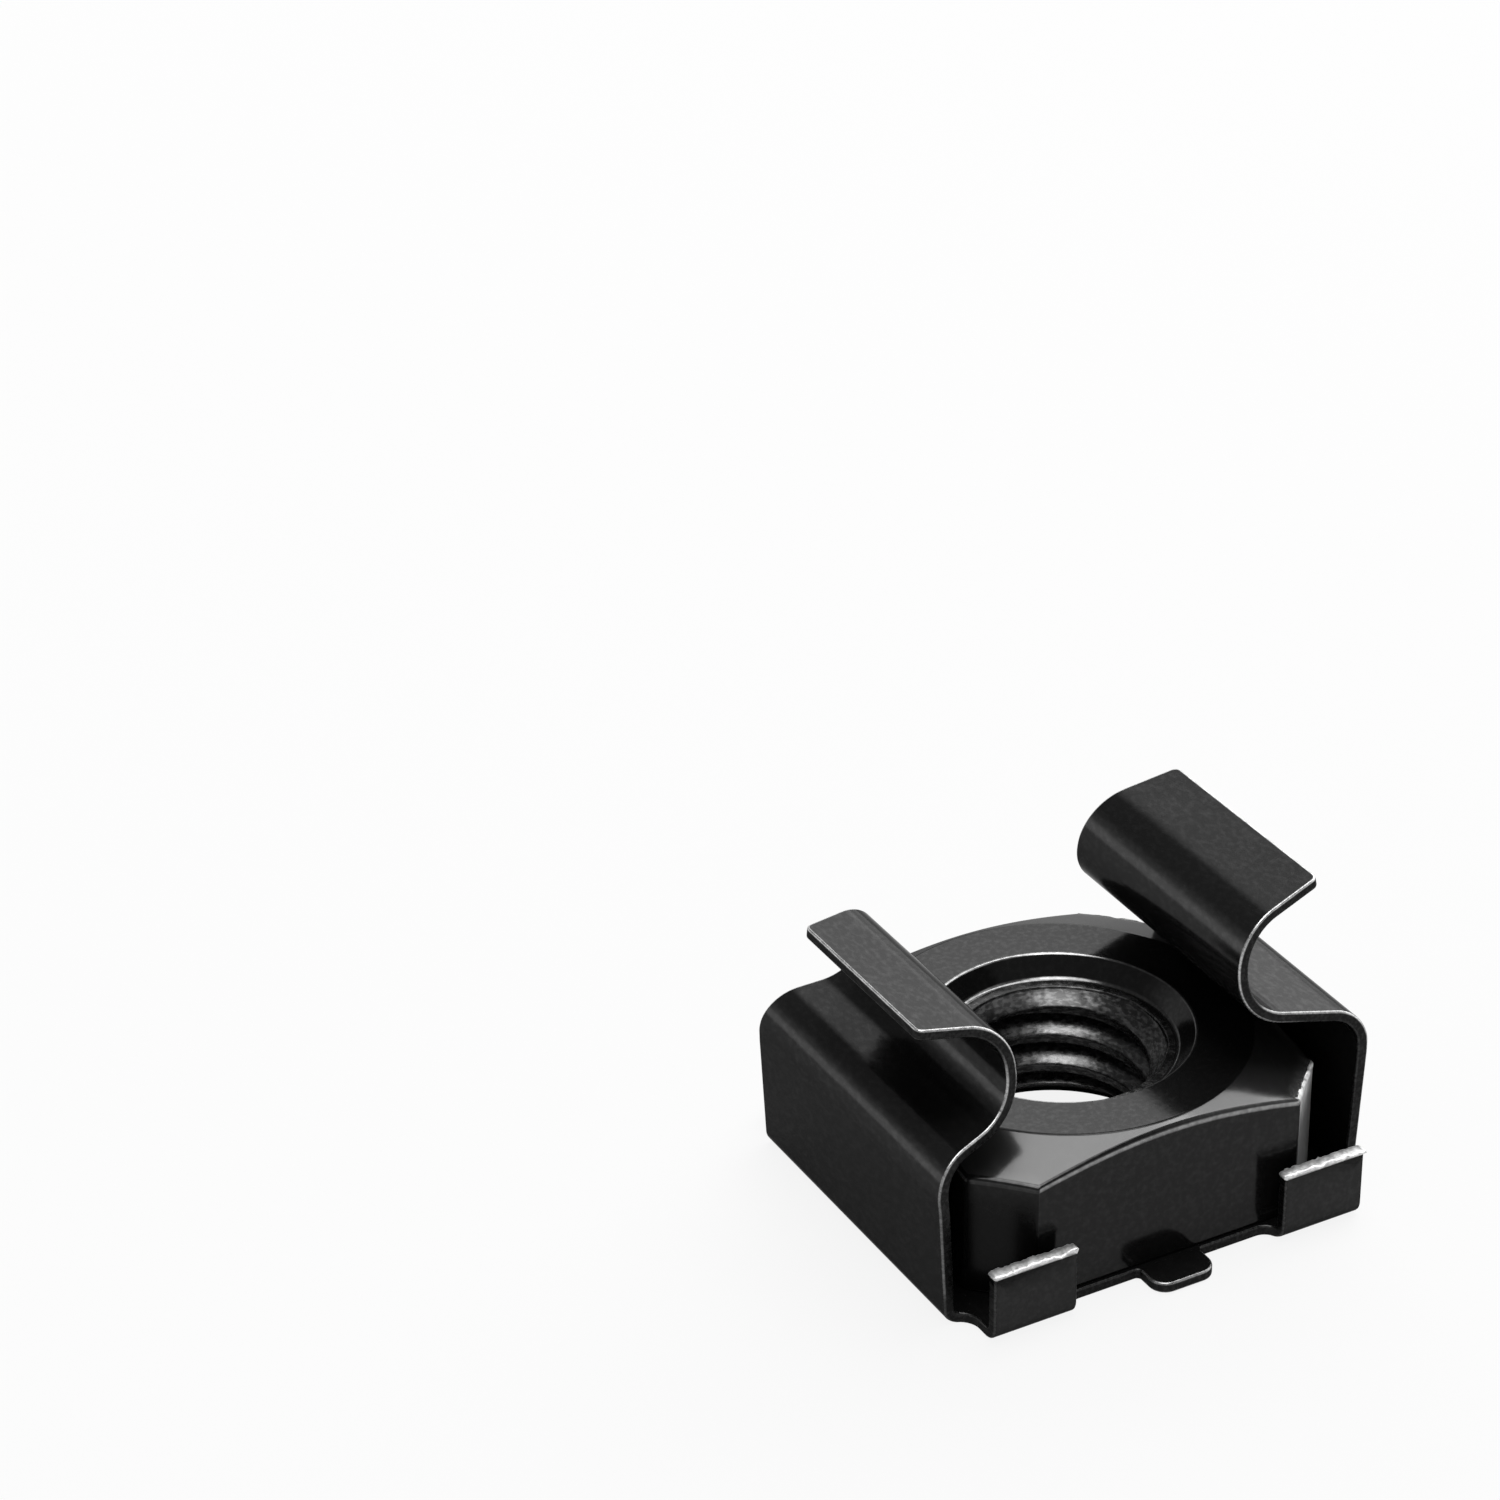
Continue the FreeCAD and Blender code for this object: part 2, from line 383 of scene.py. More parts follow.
# Cold-rolled strip: a fine mottle, a little longer along the rolls, over long shallow
# waves that soften the bands which the bends reflect.
ROLLED_STRIP_FINISH = PlatedSteel(
    name="rolled_spring_steel_black_zinc",
    base="#323232",
    rubbed_and_highlight="#b0b0b0",
    roughness=0.15,
    roughness_spread=0.03,
    grain_mm=(0.13, 0.24, 0.13),
    ripple_mm=2.0,
    ripple_depth_mm=0.018,
    grain_depth_mm=0.0005,
    edge_tint=0.47,
)
# Punched edge of the strip: blackened like the faces, duller, with bright rubbed rims.
PUNCHED_EDGE_FINISH = PlatedSteel(
    name="punched_spring_steel_black_zinc",
    base="#232323",
    rubbed_and_highlight="#d2d2d2",
    roughness=0.28,
    roughness_spread=0.1,
    grain_mm=(0.1, 0.3, 0.1),
    ripple_mm=0.4,
    ripple_depth_mm=0.006,
    grain_depth_mm=0.002,
)
# Cut-off burr at the tabs' ends: torn bare steel that scatters the light, nearly white where its
# rubbed colour also paints a highlight bead.
BURR_FINISH = PlatedSteel(
    name="torn_spring_steel_bare",
    base="#7e7e7e",
    rubbed_and_highlight="#ffffff",
    roughness=0.42,
    roughness_spread=0.14,
    grain_mm=(0.12, 0.12, 0.12),
    ripple_mm=0.3,
    ripple_depth_mm=0.03,
    grain_depth_mm=0.008,
    metal=0.45,
)


# Lines, lumps and meshes that both pieces use.


@dataclass(frozen=True)
class Stretch:
    """A straight or evenly curved stretch of a line in a plane."""

    start: float
    origin: tuple[float, float]
    heading: float
    curvature: float
    length: float

    def at(self, along: float) -> tuple[float, float, float]:
        """Place at a length along the whole line.

        Args:
            along: Length from the line's start.

        Returns:
            The two coordinates, and the heading in radians.
        """
        run = along - self.start
        heading = self.heading + self.curvature * run
        u, v = self.origin
        if abs(self.curvature) < STRAIGHT:
            return u + run * math.cos(heading), v + run * math.sin(heading), heading
        u += (math.sin(heading) - math.sin(self.heading)) / self.curvature
        v -= (math.cos(heading) - math.cos(self.heading)) / self.curvature
        return u, v, heading


class RoundedLine:
    """Line through corners, with a tangent arc of its own radius at each inner corner."""

    def __init__(self, corners: list[tuple[float, float]], radii: list[float]) -> None:
        """Set out the straight and curved stretches.

        Args:
            corners: Ends and corners of the line.
            radii: Radius at each corner between the ends.
        """
        self.stretches: list[Stretch] = []
        here = corners[0]
        for before, corner, after, radius in zip(corners, corners[1:], corners[2:], radii):
            heading = math.atan2(corner[1] - before[1], corner[0] - before[0])
            leaving = math.atan2(after[1] - corner[1], after[0] - corner[0])
            turn = (leaving - heading + math.pi) % FULL_TURN - math.pi
            setback = radius * math.tan(abs(turn) / 2)
            self.add(here, heading, 0.0, math.dist(here, corner) - setback)
            here = (
                corner[0] - setback * math.cos(heading),
                corner[1] - setback * math.sin(heading),
            )
            self.add(here, heading, math.copysign(1 / radius, turn), radius * abs(turn))
            here = (
                corner[0] + setback * math.cos(leaving),
                corner[1] + setback * math.sin(leaving),
            )
        end = corners[-1]
        heading = math.atan2(end[1] - here[1], end[0] - here[0])
        self.add(here, heading, 0.0, math.dist(here, end))

    def add(
        self, origin: tuple[float, float], heading: float, curvature: float, length: float
    ) -> None:
        """Append one stretch at the end of the line."""
        self.stretches.append(Stretch(self.length, origin, heading, curvature, length))

    @property
    def length(self) -> float:
        """Length of the whole line."""
        return self.stretches[-1].start + self.stretches[-1].length if self.stretches else 0.0

    def at(self, along: float) -> tuple[float, float, float]:
        """Place at a length along the line.

        Args:
            along: Length from the line's start.

        Returns:
            The two coordinates, and the heading in radians.
        """
        for stretch in self.stretches:
            if along <= stretch.start + stretch.length:
                return stretch.at(along)
        return self.stretches[-1].at(along)

    def stations(self, step: float, turn_step: float) -> list[float]:
        """Lengths at which the line is cut so that its arcs look round.

        Args:
            step: Longest step on a straight stretch.
            turn_step: Longest step on an arc, in radians.

        Returns:
            Lengths between the start and the end.
        """
        found = []
        for stretch in self.stretches:
            share = stretch.length / step
            if stretch.curvature:
                share = max(share, stretch.length * abs(stretch.curvature) / turn_step)
            count = max(1, math.ceil(share))
            found += [stretch.start + stretch.length * (i + 1) / count for i in range(count)]
        return found[:-1]


@dataclass(frozen=True)
class Lumps:
    """Smooth lumps of torn metal, from about -1 to 1."""

    per_mm: tuple[float, float]
    start: float

    def at(self, u: float, v: float) -> float:
        """Height of the lumps at a place on the torn face."""
        return noise.noise(Vector((u * self.per_mm[0], v * self.per_mm[1], self.start)))


def soft_edge(
    first: np.ndarray, corner: np.ndarray, last: np.ndarray, steps: int
) -> list[np.ndarray]:
    """Rings of a rounded edge between two faces.

    Args:
        first: Ring of points on the face that is left.
        corner: Ring of points on the sharp edge.
        last: Ring of points on the face that is reached.
        steps: Number of rings between the first and the last.

    Returns:
        The rings in between and the last one.
    """
    rings = []
    for i in range(1, steps + 2):
        t = i / (steps + 1)
        rings.append((1 - t) ** 2 * first + 2 * t * (1 - t) * corner + t**2 * last)
    return rings


def finished_piece(
    name: str,
    points: np.ndarray,
    faces: list,
    normals: np.ndarray,
    rub_and_highlight: np.ndarray,
    finishes: list[PlatedSteel],
    finish_of_face: list[int],
) -> bpy.types.Object:
    """Make a smooth mesh object from plain lists.

    Args:
        name: Name of the piece.
        points: Vertices in millimetres.
        faces: Vertex numbers of each face.
        normals: Shading normal of each vertex.
        rub_and_highlight: Share of rubbed metal, or of painted highlight, at each vertex.
        finishes: Finishes in the order of the material slots.
        finish_of_face: Slot number of each face.

    Returns:
        The object, linked to the scene.
    """
    mesh = bpy.data.meshes.new(name)
    mesh.from_pydata((points * MM).tolist(), [], faces)
    for finish in finishes:
        mesh.materials.append(finish.material())
    mesh.polygons.foreach_set("material_index", finish_of_face)
    mesh.polygons.foreach_set("use_smooth", [True] * len(mesh.polygons))
    mesh.attributes.new("rub_and_highlight", "FLOAT", "POINT").data.foreach_set("value", rub_and_highlight)
    mesh.normals_split_custom_set_from_vertices(normals.tolist())
    mesh.update()
    piece = bpy.data.objects.new(name, mesh)
    bpy.context.scene.collection.objects.link(piece)
    return piece


@dataclass
class SquareNut:
    """Forged square nut: bevelled top, flattened corners, deep entry and a real thread.

    It is one closed grid of rings. They run from the underside up the sides, over the
    bevelled top, down the entry and the thread, and back to the underside. Each ring has
    a point in every column, and the columns stand side by side round the outline.
    """

    half: float = 5.6
    low: float = 0.33
    top: float = 4.63
    corner_flat: float = 2.0
    corner_radius: float = 0.14
    top_flat_radius: float = 5.3
    top_slope: float = math.radians(21)
    entry_radius: float = 3.75
    entry_depth: float = 0.6
    entry_floor_radius: float = 3.3
    exit_radius: float = 3.35
    exit_depth: float = 0.7
    # Widths of the rounded edges.
    bottom_edge: float = 0.09
    arch_edge: float = 0.15
    cone_edge: float = 0.05
    rim_edge: float = 0.06
    ledge_edge: float = 0.1
    lip_edge: float = 0.05
    exit_edge: float = 0.05
    # The M6 thread. The upper flank is drawn at 41 degrees from level and the lower one at
    # 21, where both have 30 on the real one, so that the turns are as open to the light as
    # they are in the photograph. Crest, root and flank are shares of the pitch.
    minor_radius: float = 2.5
    thread_depth: float = 0.5
    pitch: float = 1.0
    thread_start: float = 0.38
    half_crest: float = 0.125
    root: float = 0.125
    upper_flank: float = 0.43
    flank_easing: float = 0.2
    # The lead-in opens the first turn to lead_radius, and narrows by lead_fall a millimetre.
    lead_radius: float = 2.98
    lead_fall: float = 1.2
    # Torn corners, counted from the back right one: how far each is torn. The front left one stays
    # untorn and takes the darker corner finish, which paints its shade.
    corner_tear: tuple[float, ...] = (0.5, 0.35, 0.05, 1.0)
    torn_from: float = 0.3
    torn_height: float = 0.8
    torn_side_wear: float = 0.8
    burr_lumps: Lumps = Lumps((3.4, 3.4), 3.1)
    burr_height: float = 0.06
    burr_swing: float = 0.28
    burr_lean: float = 0.5
    # Shares of rubbed metal. On the thread the rubbed colour paints the glint of the upper flanks, a
    # painted highlight, weaker on the top turn, which is already lit. On a flank the painted glint is
    # full near its phase, within its core, and gone at its reach.
    # On the arch the rub share is partly a painted highlight along the edge.
    arch_wear_and_highlight: float = 0.9
    ledge_wear: float = 0.6
    top_turn: float = 3.5
    top_turn_glint: float = 0.12
    lower_turn_glint: float = 0.38
    glint_phase: float = 0.22
    glint_core: float = 0.066
    glint_reach: float = 0.176
    # The rims are rubbed less round this azimuth, which the taller ear overhangs.
    shielded_azimuth: float = math.radians(-25)
    shielded_cosine: float = 0.625
    shielded_share: float = 0.75
    # Fineness of the grid.
    row_height: float = 0.025
    columns_apart: float = math.radians(1.8)
    least_columns: int = 26
    corner_steps: int = 3
    # Rings between the ends of each rounded edge. On the arch the first few are rubbed, and that
    # rubbed colour also paints the edge's highlight line.
    bottom_steps: int = 2
    arch_steps: int = 4
    arch_rubbed_and_lit: int = 2
    cone_steps: int = 1
    rim_steps: int = 3
    ledge_steps: int = 3
    lip_steps: int = 1
    exit_steps: int = 2
    # Shares of the way at which the rings of each face lie.
    side_rows: tuple[float, ...] = (0.1, 0.3, 0.5, 0.7, 0.84, 0.94, 1.0)
    cone_rows: tuple[float, ...] = (0.2, 0.45, 0.7, 1.0)
    flat_rows: tuple[float, ...] = (0.3, 0.6, 1.0)
    entry_rows: tuple[float, ...] = (0.35, 0.7, 1.0)
    underside_rows: tuple[float, ...] = (0.25, 0.5, 0.75)
    rings: list = field(default_factory=list)
    zones: list = field(default_factory=list)
    wear_and_highlight: list = field(default_factory=list)
    points: np.ndarray = field(init=False)
    normals: np.ndarray = field(init=False)
    on_corner: np.ndarray = field(init=False)
    radius: np.ndarray = field(init=False)
    spoke: np.ndarray = field(init=False)
    angle: np.ndarray = field(init=False)
    torn: np.ndarray = field(init=False)
    arch_end: int = field(init=False)

    def set_out(self) -> None:
        """Set out the columns: their places, the outline's normals and the torn corners."""
        cut = self.corner_flat / math.sqrt(2)
        corners = [(self.half, cut - self.half), (self.half, self.half - cut)]
        columns = []
        for quarter in range(4):
            turn = Matrix.Rotation(quarter * math.pi / 2, 2)
            start, end = (turn @ Vector(corner) for corner in corners)
            following = Matrix.Rotation((quarter + 1) * math.pi / 2, 2) @ Vector(corners[0])
            columns += self.side(start, end, False) + self.side(end, following, True)
        table = np.array(columns)
        self.points = table[:, :2]
        self.normals = table[:, 2:4]
        self.on_corner = table[:, 4] > 0
        self.radius = np.linalg.norm(self.points, axis=1)
        self.spoke = self.points / self.radius[:, None]
        self.angle = np.unwrap(np.arctan2(self.points[:, 1], self.points[:, 0]))
        quarter_of = ((self.angle % FULL_TURN) // (math.pi / 2)).astype(int)
        self.torn = np.where(self.on_corner, np.array(self.corner_tear)[quarter_of], 0.0)

    def side(self, start: Vector, end: Vector, corner: bool) -> list[tuple[float, ...]]:
        """Set out one side of the outline and the rounded edge at its end.

        Args:
            start: Sharp corner where the side starts.
            end: Sharp corner where it ends.
            corner: Whether it is one of the flattened corners.

        Returns:
            For each column its place, the outline's normal there and the corner flag.
        """
        turn = math.pi / 4
        along = (end - start).normalized()
        outward = Vector((along.y, -along.x))
        setback = self.corner_radius * math.tan(turn / 2)
        first = start + along * setback
        last = end - along * setback
        spread = math.atan2(last.y, last.x) - math.atan2(first.y, first.x)
        count = max(self.least_columns, round((spread % FULL_TURN) / self.columns_apart))
        columns = [(*first.lerp(last, i / count), *outward, corner) for i in range(count + 1)]
        centre = last - outward * self.corner_radius
        for i in range(1, self.corner_steps):
            out = Matrix.Rotation(turn * i / self.corner_steps, 2) @ outward
            columns.append((*(centre + out * self.corner_radius), *out, corner))
        return columns

    def circle(self, radius: float | np.ndarray, z: float | np.ndarray) -> np.ndarray:
        """Make a ring from distances to the axis.

        Args:
            radius: Distance from the axis, one for all columns or one for each.
            z: Height, one for all columns or one for each.

        Returns:
            A point in every column.
        """
        ring = np.empty((len(self.points), 3))
        ring[:, :2] = self.spoke * np.reshape(radius, (-1, 1))
        ring[:, 2] = z
        return ring

    def side_ring(self, z: float | np.ndarray, inset: float = 0.0) -> np.ndarray:
        """Make a ring that follows the outline.

        Args:
            z: Height, one for all columns or one for each.
            inset: How far the ring lies inside the outline.

        Returns:
            A point in every column.
        """
        ring = np.empty((len(self.points), 3))
        ring[:, :2] = self.points - self.normals * inset
        ring[:, 2] = z
        return ring

    def add(self, ring: np.ndarray, zone: Zone, wear_and_highlight: float | np.ndarray = 0.0) -> None:
        """Keep a ring as the next one of the grid.

        Args:
            ring: Point in every column.
            zone: Face of the nut that leads to the ring.
            wear_and_highlight: Share of rubbed metal or painted highlight, one for all columns or one
                for each.
        """
        self.rings.append(ring)
        self.zones.append(zone)
        self.wear_and_highlight.append(np.broadcast_to(wear_and_highlight, len(ring)))

    def add_span(self, end: np.ndarray, shares: tuple[float, ...], zone: Zone) -> None:
        """Add rings at shares of the straight way from the last ring to an end.

        Args:
            end: Ring at a share of one.
            shares: Share of the way at each new ring.
            zone: Face of the nut that they lie on.
        """
        start = self.rings[-1]
        for share in shares:
            self.add(start + (end - start) * share, zone)

    def add_edge(
        self,
        corner: np.ndarray,
        end: np.ndarray,
        steps: int,
        zone: Zone = Zone.EDGE,
        wear_and_highlight: float | np.ndarray = 0.0,
    ) -> None:
        """Add a rounded edge from the last ring, rubbed on all its rings but the end.

        Args:
            corner: Ring on the sharp edge.
            end: Ring on the face that is reached.
            steps: Number of rings before the end.
            zone: Face of the nut that they lie on.
            wear_and_highlight: Share of rubbed metal or painted highlight.
        """
        for ring in soft_edge(self.rings[-1], corner, end, steps)[:-1]:
            self.add(ring, zone, wear_and_highlight)
        self.add(end, zone)

    def cone_z(self, radius: np.ndarray | float) -> np.ndarray | float:
        """Height of the top at a radius: flat, then falling as a cone."""
        return self.top - np.maximum(radius - self.top_flat_radius, 0) * math.tan(self.top_slope)

    def thread_phase(self, z: float) -> np.ndarray:
        """Share of a turn above the middle of the crest below, in every column at a height."""
        return (z / self.pitch - self.angle / FULL_TURN - self.thread_start) % 1.0

    def thread_radius(self, z: float) -> np.ndarray:
        """Radius of the hole's wall, as the bevels and the M6 groove cut it.

        Args:
            z: Height.

        Returns:
            In every column, the largest radius that any of the cuts reaches there.
        """
        phase = self.thread_phase(z)
        lower_flank = 1 - 2 * self.half_crest - self.root - self.upper_flank
        above = (phase - self.half_crest) / self.upper_flank
        below = (1 - self.half_crest - phase) / lower_flank
        rise = np.clip(np.minimum(above, below), 0, 1)
        eased = 3 * rise**2 - 2 * rise**3
        depth = self.flank_easing * eased + (1 - self.flank_easing) * rise
        groove = self.minor_radius + self.thread_depth * depth
        fall = (self.exit_radius - self.minor_radius) / self.exit_depth
        way_out = self.exit_radius - (z - self.low) * fall
        lead = self.lead_radius - (self.top - self.entry_depth - z) * self.lead_fall
        return np.maximum(groove, max(lead, way_out))

    def burr(self) -> np.ndarray:
        """Height of the torn burr along the top edge of each flattened corner."""
        lumps = np.array([self.burr_lumps.at(x, y) for x, y in self.points])
        return self.torn * np.maximum(0.0, self.burr_height + self.burr_swing * lumps)

    def rim_wear(self) -> np.ndarray:
        """How far the hole's rims are rubbed: less round the azimuth that the taller ear overhangs.
        """
        facing = np.cos(self.angle - self.shielded_azimuth)
        return 1.0 - self.shielded_share * ramp(facing, 0.0, self.shielded_cosine)

    def build_outside(self) -> None:
        """Add the rings from the underside, up the sides and over the bevelled top."""
        self.add(self.side_ring(self.low, self.bottom_edge), Zone.UNDERSIDE)
        first_side = self.side_ring(self.low + self.bottom_edge)
        self.add_edge(self.side_ring(self.low), first_side, self.bottom_steps)
        arch = self.cone_z(self.radius)
        last_side = self.side_ring(arch - self.arch_edge)
        for share in self.side_rows:
            worn = self.torn * self.torn_side_wear * ramp(share, self.torn_height, 1.0)
            self.add(first_side + (last_side - first_side) * share, Zone.SIDE, worn)
        reach = self.radius - self.arch_edge
        corner = self.side_ring(arch)
        burr = self.burr()
        corner[:, :2] += self.spoke * burr[:, None] * self.burr_lean
        corner[:, 2] += burr
        on_cone = self.circle(reach, self.cone_z(reach))
        # The first rings of the arch are rubbed, which also paints a highlight line along the edge.
        for number, ring in enumerate(soft_edge(last_side, corner, on_cone, self.arch_steps)):
            side_wear_and_highlight = self.arch_wear_and_highlight if number < self.arch_rubbed_and_lit else 0.0
            self.add(ring, Zone.EDGE, np.where(self.on_corner, self.torn, side_wear_and_highlight))
        # The last band of the arch is already part of the cone, so no tear reaches it.
        self.arch_end = len(self.rings) - 2
        cone_foot = np.minimum(self.top_flat_radius + self.cone_edge, reach)
        for share in self.cone_rows:
            radius = reach + (cone_foot - reach) * share
            self.add(self.circle(radius, self.cone_z(radius)), Zone.CONE)
        flat_start = np.minimum(self.top_flat_radius - self.cone_edge, reach)
        sharp = self.circle(np.minimum(self.top_flat_radius, reach), self.top)
        on_flat = self.circle(flat_start, self.top)
        self.add_edge(sharp, on_flat, self.cone_steps, Zone.FLAT)

    def build_entry(self) -> None:
        """Add the rings across the flat top, down the entry and over its ledge."""
        ledge_z = self.top - self.entry_depth
        rim = self.circle(self.entry_radius, self.top)
        before_rim = self.circle(self.entry_radius + self.rim_edge, self.top)
        foot = self.circle(self.entry_floor_radius, ledge_z)
        on_ledge = self.circle(self.entry_floor_radius - self.ledge_edge, ledge_z)
        wall = foot - rim
        depth = float(np.linalg.norm(wall[0]))
        worn = self.rim_wear()
        self.add_span(before_rim, self.flat_rows, Zone.FLAT)
        after_rim = rim + wall * (self.rim_edge / depth)
        self.add_edge(rim, after_rim, self.rim_steps, Zone.EDGE, worn)
        before_foot = rim + wall * (1 - self.ledge_edge / depth)
        self.add_span(before_foot, self.entry_rows, Zone.ENTRY)
        self.add_edge(foot, on_ledge, self.ledge_steps, Zone.ENTRY, self.ledge_wear * worn)

    def build_thread(self) -> None:
        """Add the rings from the ledge's lip, down the thread and back to the underside."""
        ledge_z = self.top - self.entry_depth
        start_z = ledge_z - self.lip_edge
        start = self.thread_radius(start_z)
        lip = self.circle(start, ledge_z)
        self.add(self.circle(start + self.lip_edge, ledge_z), Zone.THREAD)
        self.add_edge(lip, self.circle(start, start_z), self.lip_steps, Zone.THREAD)
        worn = self.rim_wear()
        depth = start_z - self.low - self.exit_edge
        rows = round(depth / self.row_height)
        for row in range(1, rows + 1):
            z = start_z - depth * row / rows
            # The rubbed colour here paints the glint of the upper flanks: a painted highlight, weaker
            # on the already lit top turn.
            past = np.abs(self.thread_phase(z) - self.glint_phase)
            wear_and_highlight = self.top_turn_glint if z > self.top_turn else self.lower_turn_glint
            flank_glint = wear_and_highlight * ramp(past, self.glint_reach, self.glint_core) * worn
            self.add(self.circle(self.thread_radius(z), z), Zone.THREAD, flank_glint)
        under = self.circle(self.exit_radius + self.exit_edge, self.low)
        self.add_edge(self.circle(self.exit_radius, self.low), under, self.exit_steps)
        self.add_span(self.rings[0], self.underside_rows, Zone.UNDERSIDE)

    def grid_normals(self) -> np.ndarray:
        """Work out the shading normals of the closed grid.

        Returns:
            Normal of each vertex, weighted by the area of the faces around it.
        """
        grid = np.array(self.rings)
        ahead = np.roll(grid, -1, 0)
        aside = np.roll(grid, -1, 1)
        across = np.roll(ahead, -1, 1)
        face = np.cross(across - grid, ahead - aside)
        total = np.zeros_like(grid)
        for down in (0, 1):
            for back in (0, 1):
                total += np.roll(face, (down, back), (0, 1))
        length = np.linalg.norm(total, axis=2, keepdims=True)
        return (total / np.maximum(length, NO_LENGTH)).reshape(-1, 3)

    def finish_at(self, row: int, zone: Zone, column: int, beside: int) -> NutSlot:
        """Choose the finish of the face between two rings and two columns.

        Args:
            row: Number of the ring that the face starts from.
            zone: Zone of the ring that it leads to.
            column: Number of its first column.
            beside: Number of its second column.

        Returns:
            Slot of the finish.
        """
        if zone is Zone.THREAD:
            return NutSlot.THREAD
        if zone is Zone.CONE:
            return NutSlot.BEVEL
        below_cone = zone in (Zone.SIDE, Zone.EDGE) and row < self.arch_end
        if below_cone and min(self.torn[column], self.torn[beside]) > self.torn_from:
            return NutSlot.TORN_CORNER
        # Untorn corner sides take the darker finish that paints shade.
        if zone is Zone.SIDE and self.on_corner[column] and self.on_corner[beside]:
            return NutSlot.CORNER
        return NutSlot.FORGED

    def dress(self) -> bpy.types.Object:
        """Join the rings into the piece and give each face its finish.

        Returns:
            The nut, standing for its CAD node.
        """
        columns = len(self.points)
        faces, finish_of_face = [], []
        for row, zone in enumerate(self.zones[1:] + self.zones[:1]):
            here = row * columns
            after = (row + 1) % len(self.rings) * columns
            for column in range(columns):
                beside = (column + 1) % columns
                faces.append((here + column, here + beside, after + beside, after + column))
                finish_of_face.append(self.finish_at(row, zone, column, beside))
        finishes = {
            NutSlot.FORGED: FORGED_NUT_FINISH,
            NutSlot.TORN_CORNER: CUT_CORNER_FINISH,
            NutSlot.THREAD: TAPPED_THREAD_FINISH,
            NutSlot.BEVEL: DIE_BEVEL_FINISH,
            NutSlot.CORNER: SHADED_CORNER_FINISH,
        }
        piece = finished_piece(
            "square_nut_body",
            np.concatenate(self.rings),
            faces,
            self.grid_normals(),
            np.concatenate(self.wear_and_highlight),
            [finishes[slot] for slot in NutSlot],
            finish_of_face,
        )
        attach(piece, BODY)
        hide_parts("square_nut")
        return piece

    def build(self) -> bpy.types.Object:
        """Set out, build and dress the nut.

        Returns:
            The nut.
        """
        self.set_out()
        self.build_outside()
        self.build_entry()
        self.build_thread()
        return self.dress()


@dataclass(frozen=True)
class Ear:
    """Sizes of one ear: shoulder, neck and lip. Slopes are degrees from level."""

    shoulder_gap: float
    shoulder_slope: float
    shoulder_radius: float
    neck: float
    neck_height: float
    lower_radius: float
    upper_radius: float
    lip_slope: float
    lip_reach: float
    lip_length: float


@dataclass(frozen=True)
class BlankCorner:
    """Corner of the blank: place, radius, and longest step along the edge after it."""

    x: float
    y: float
    radius: float
    step: float


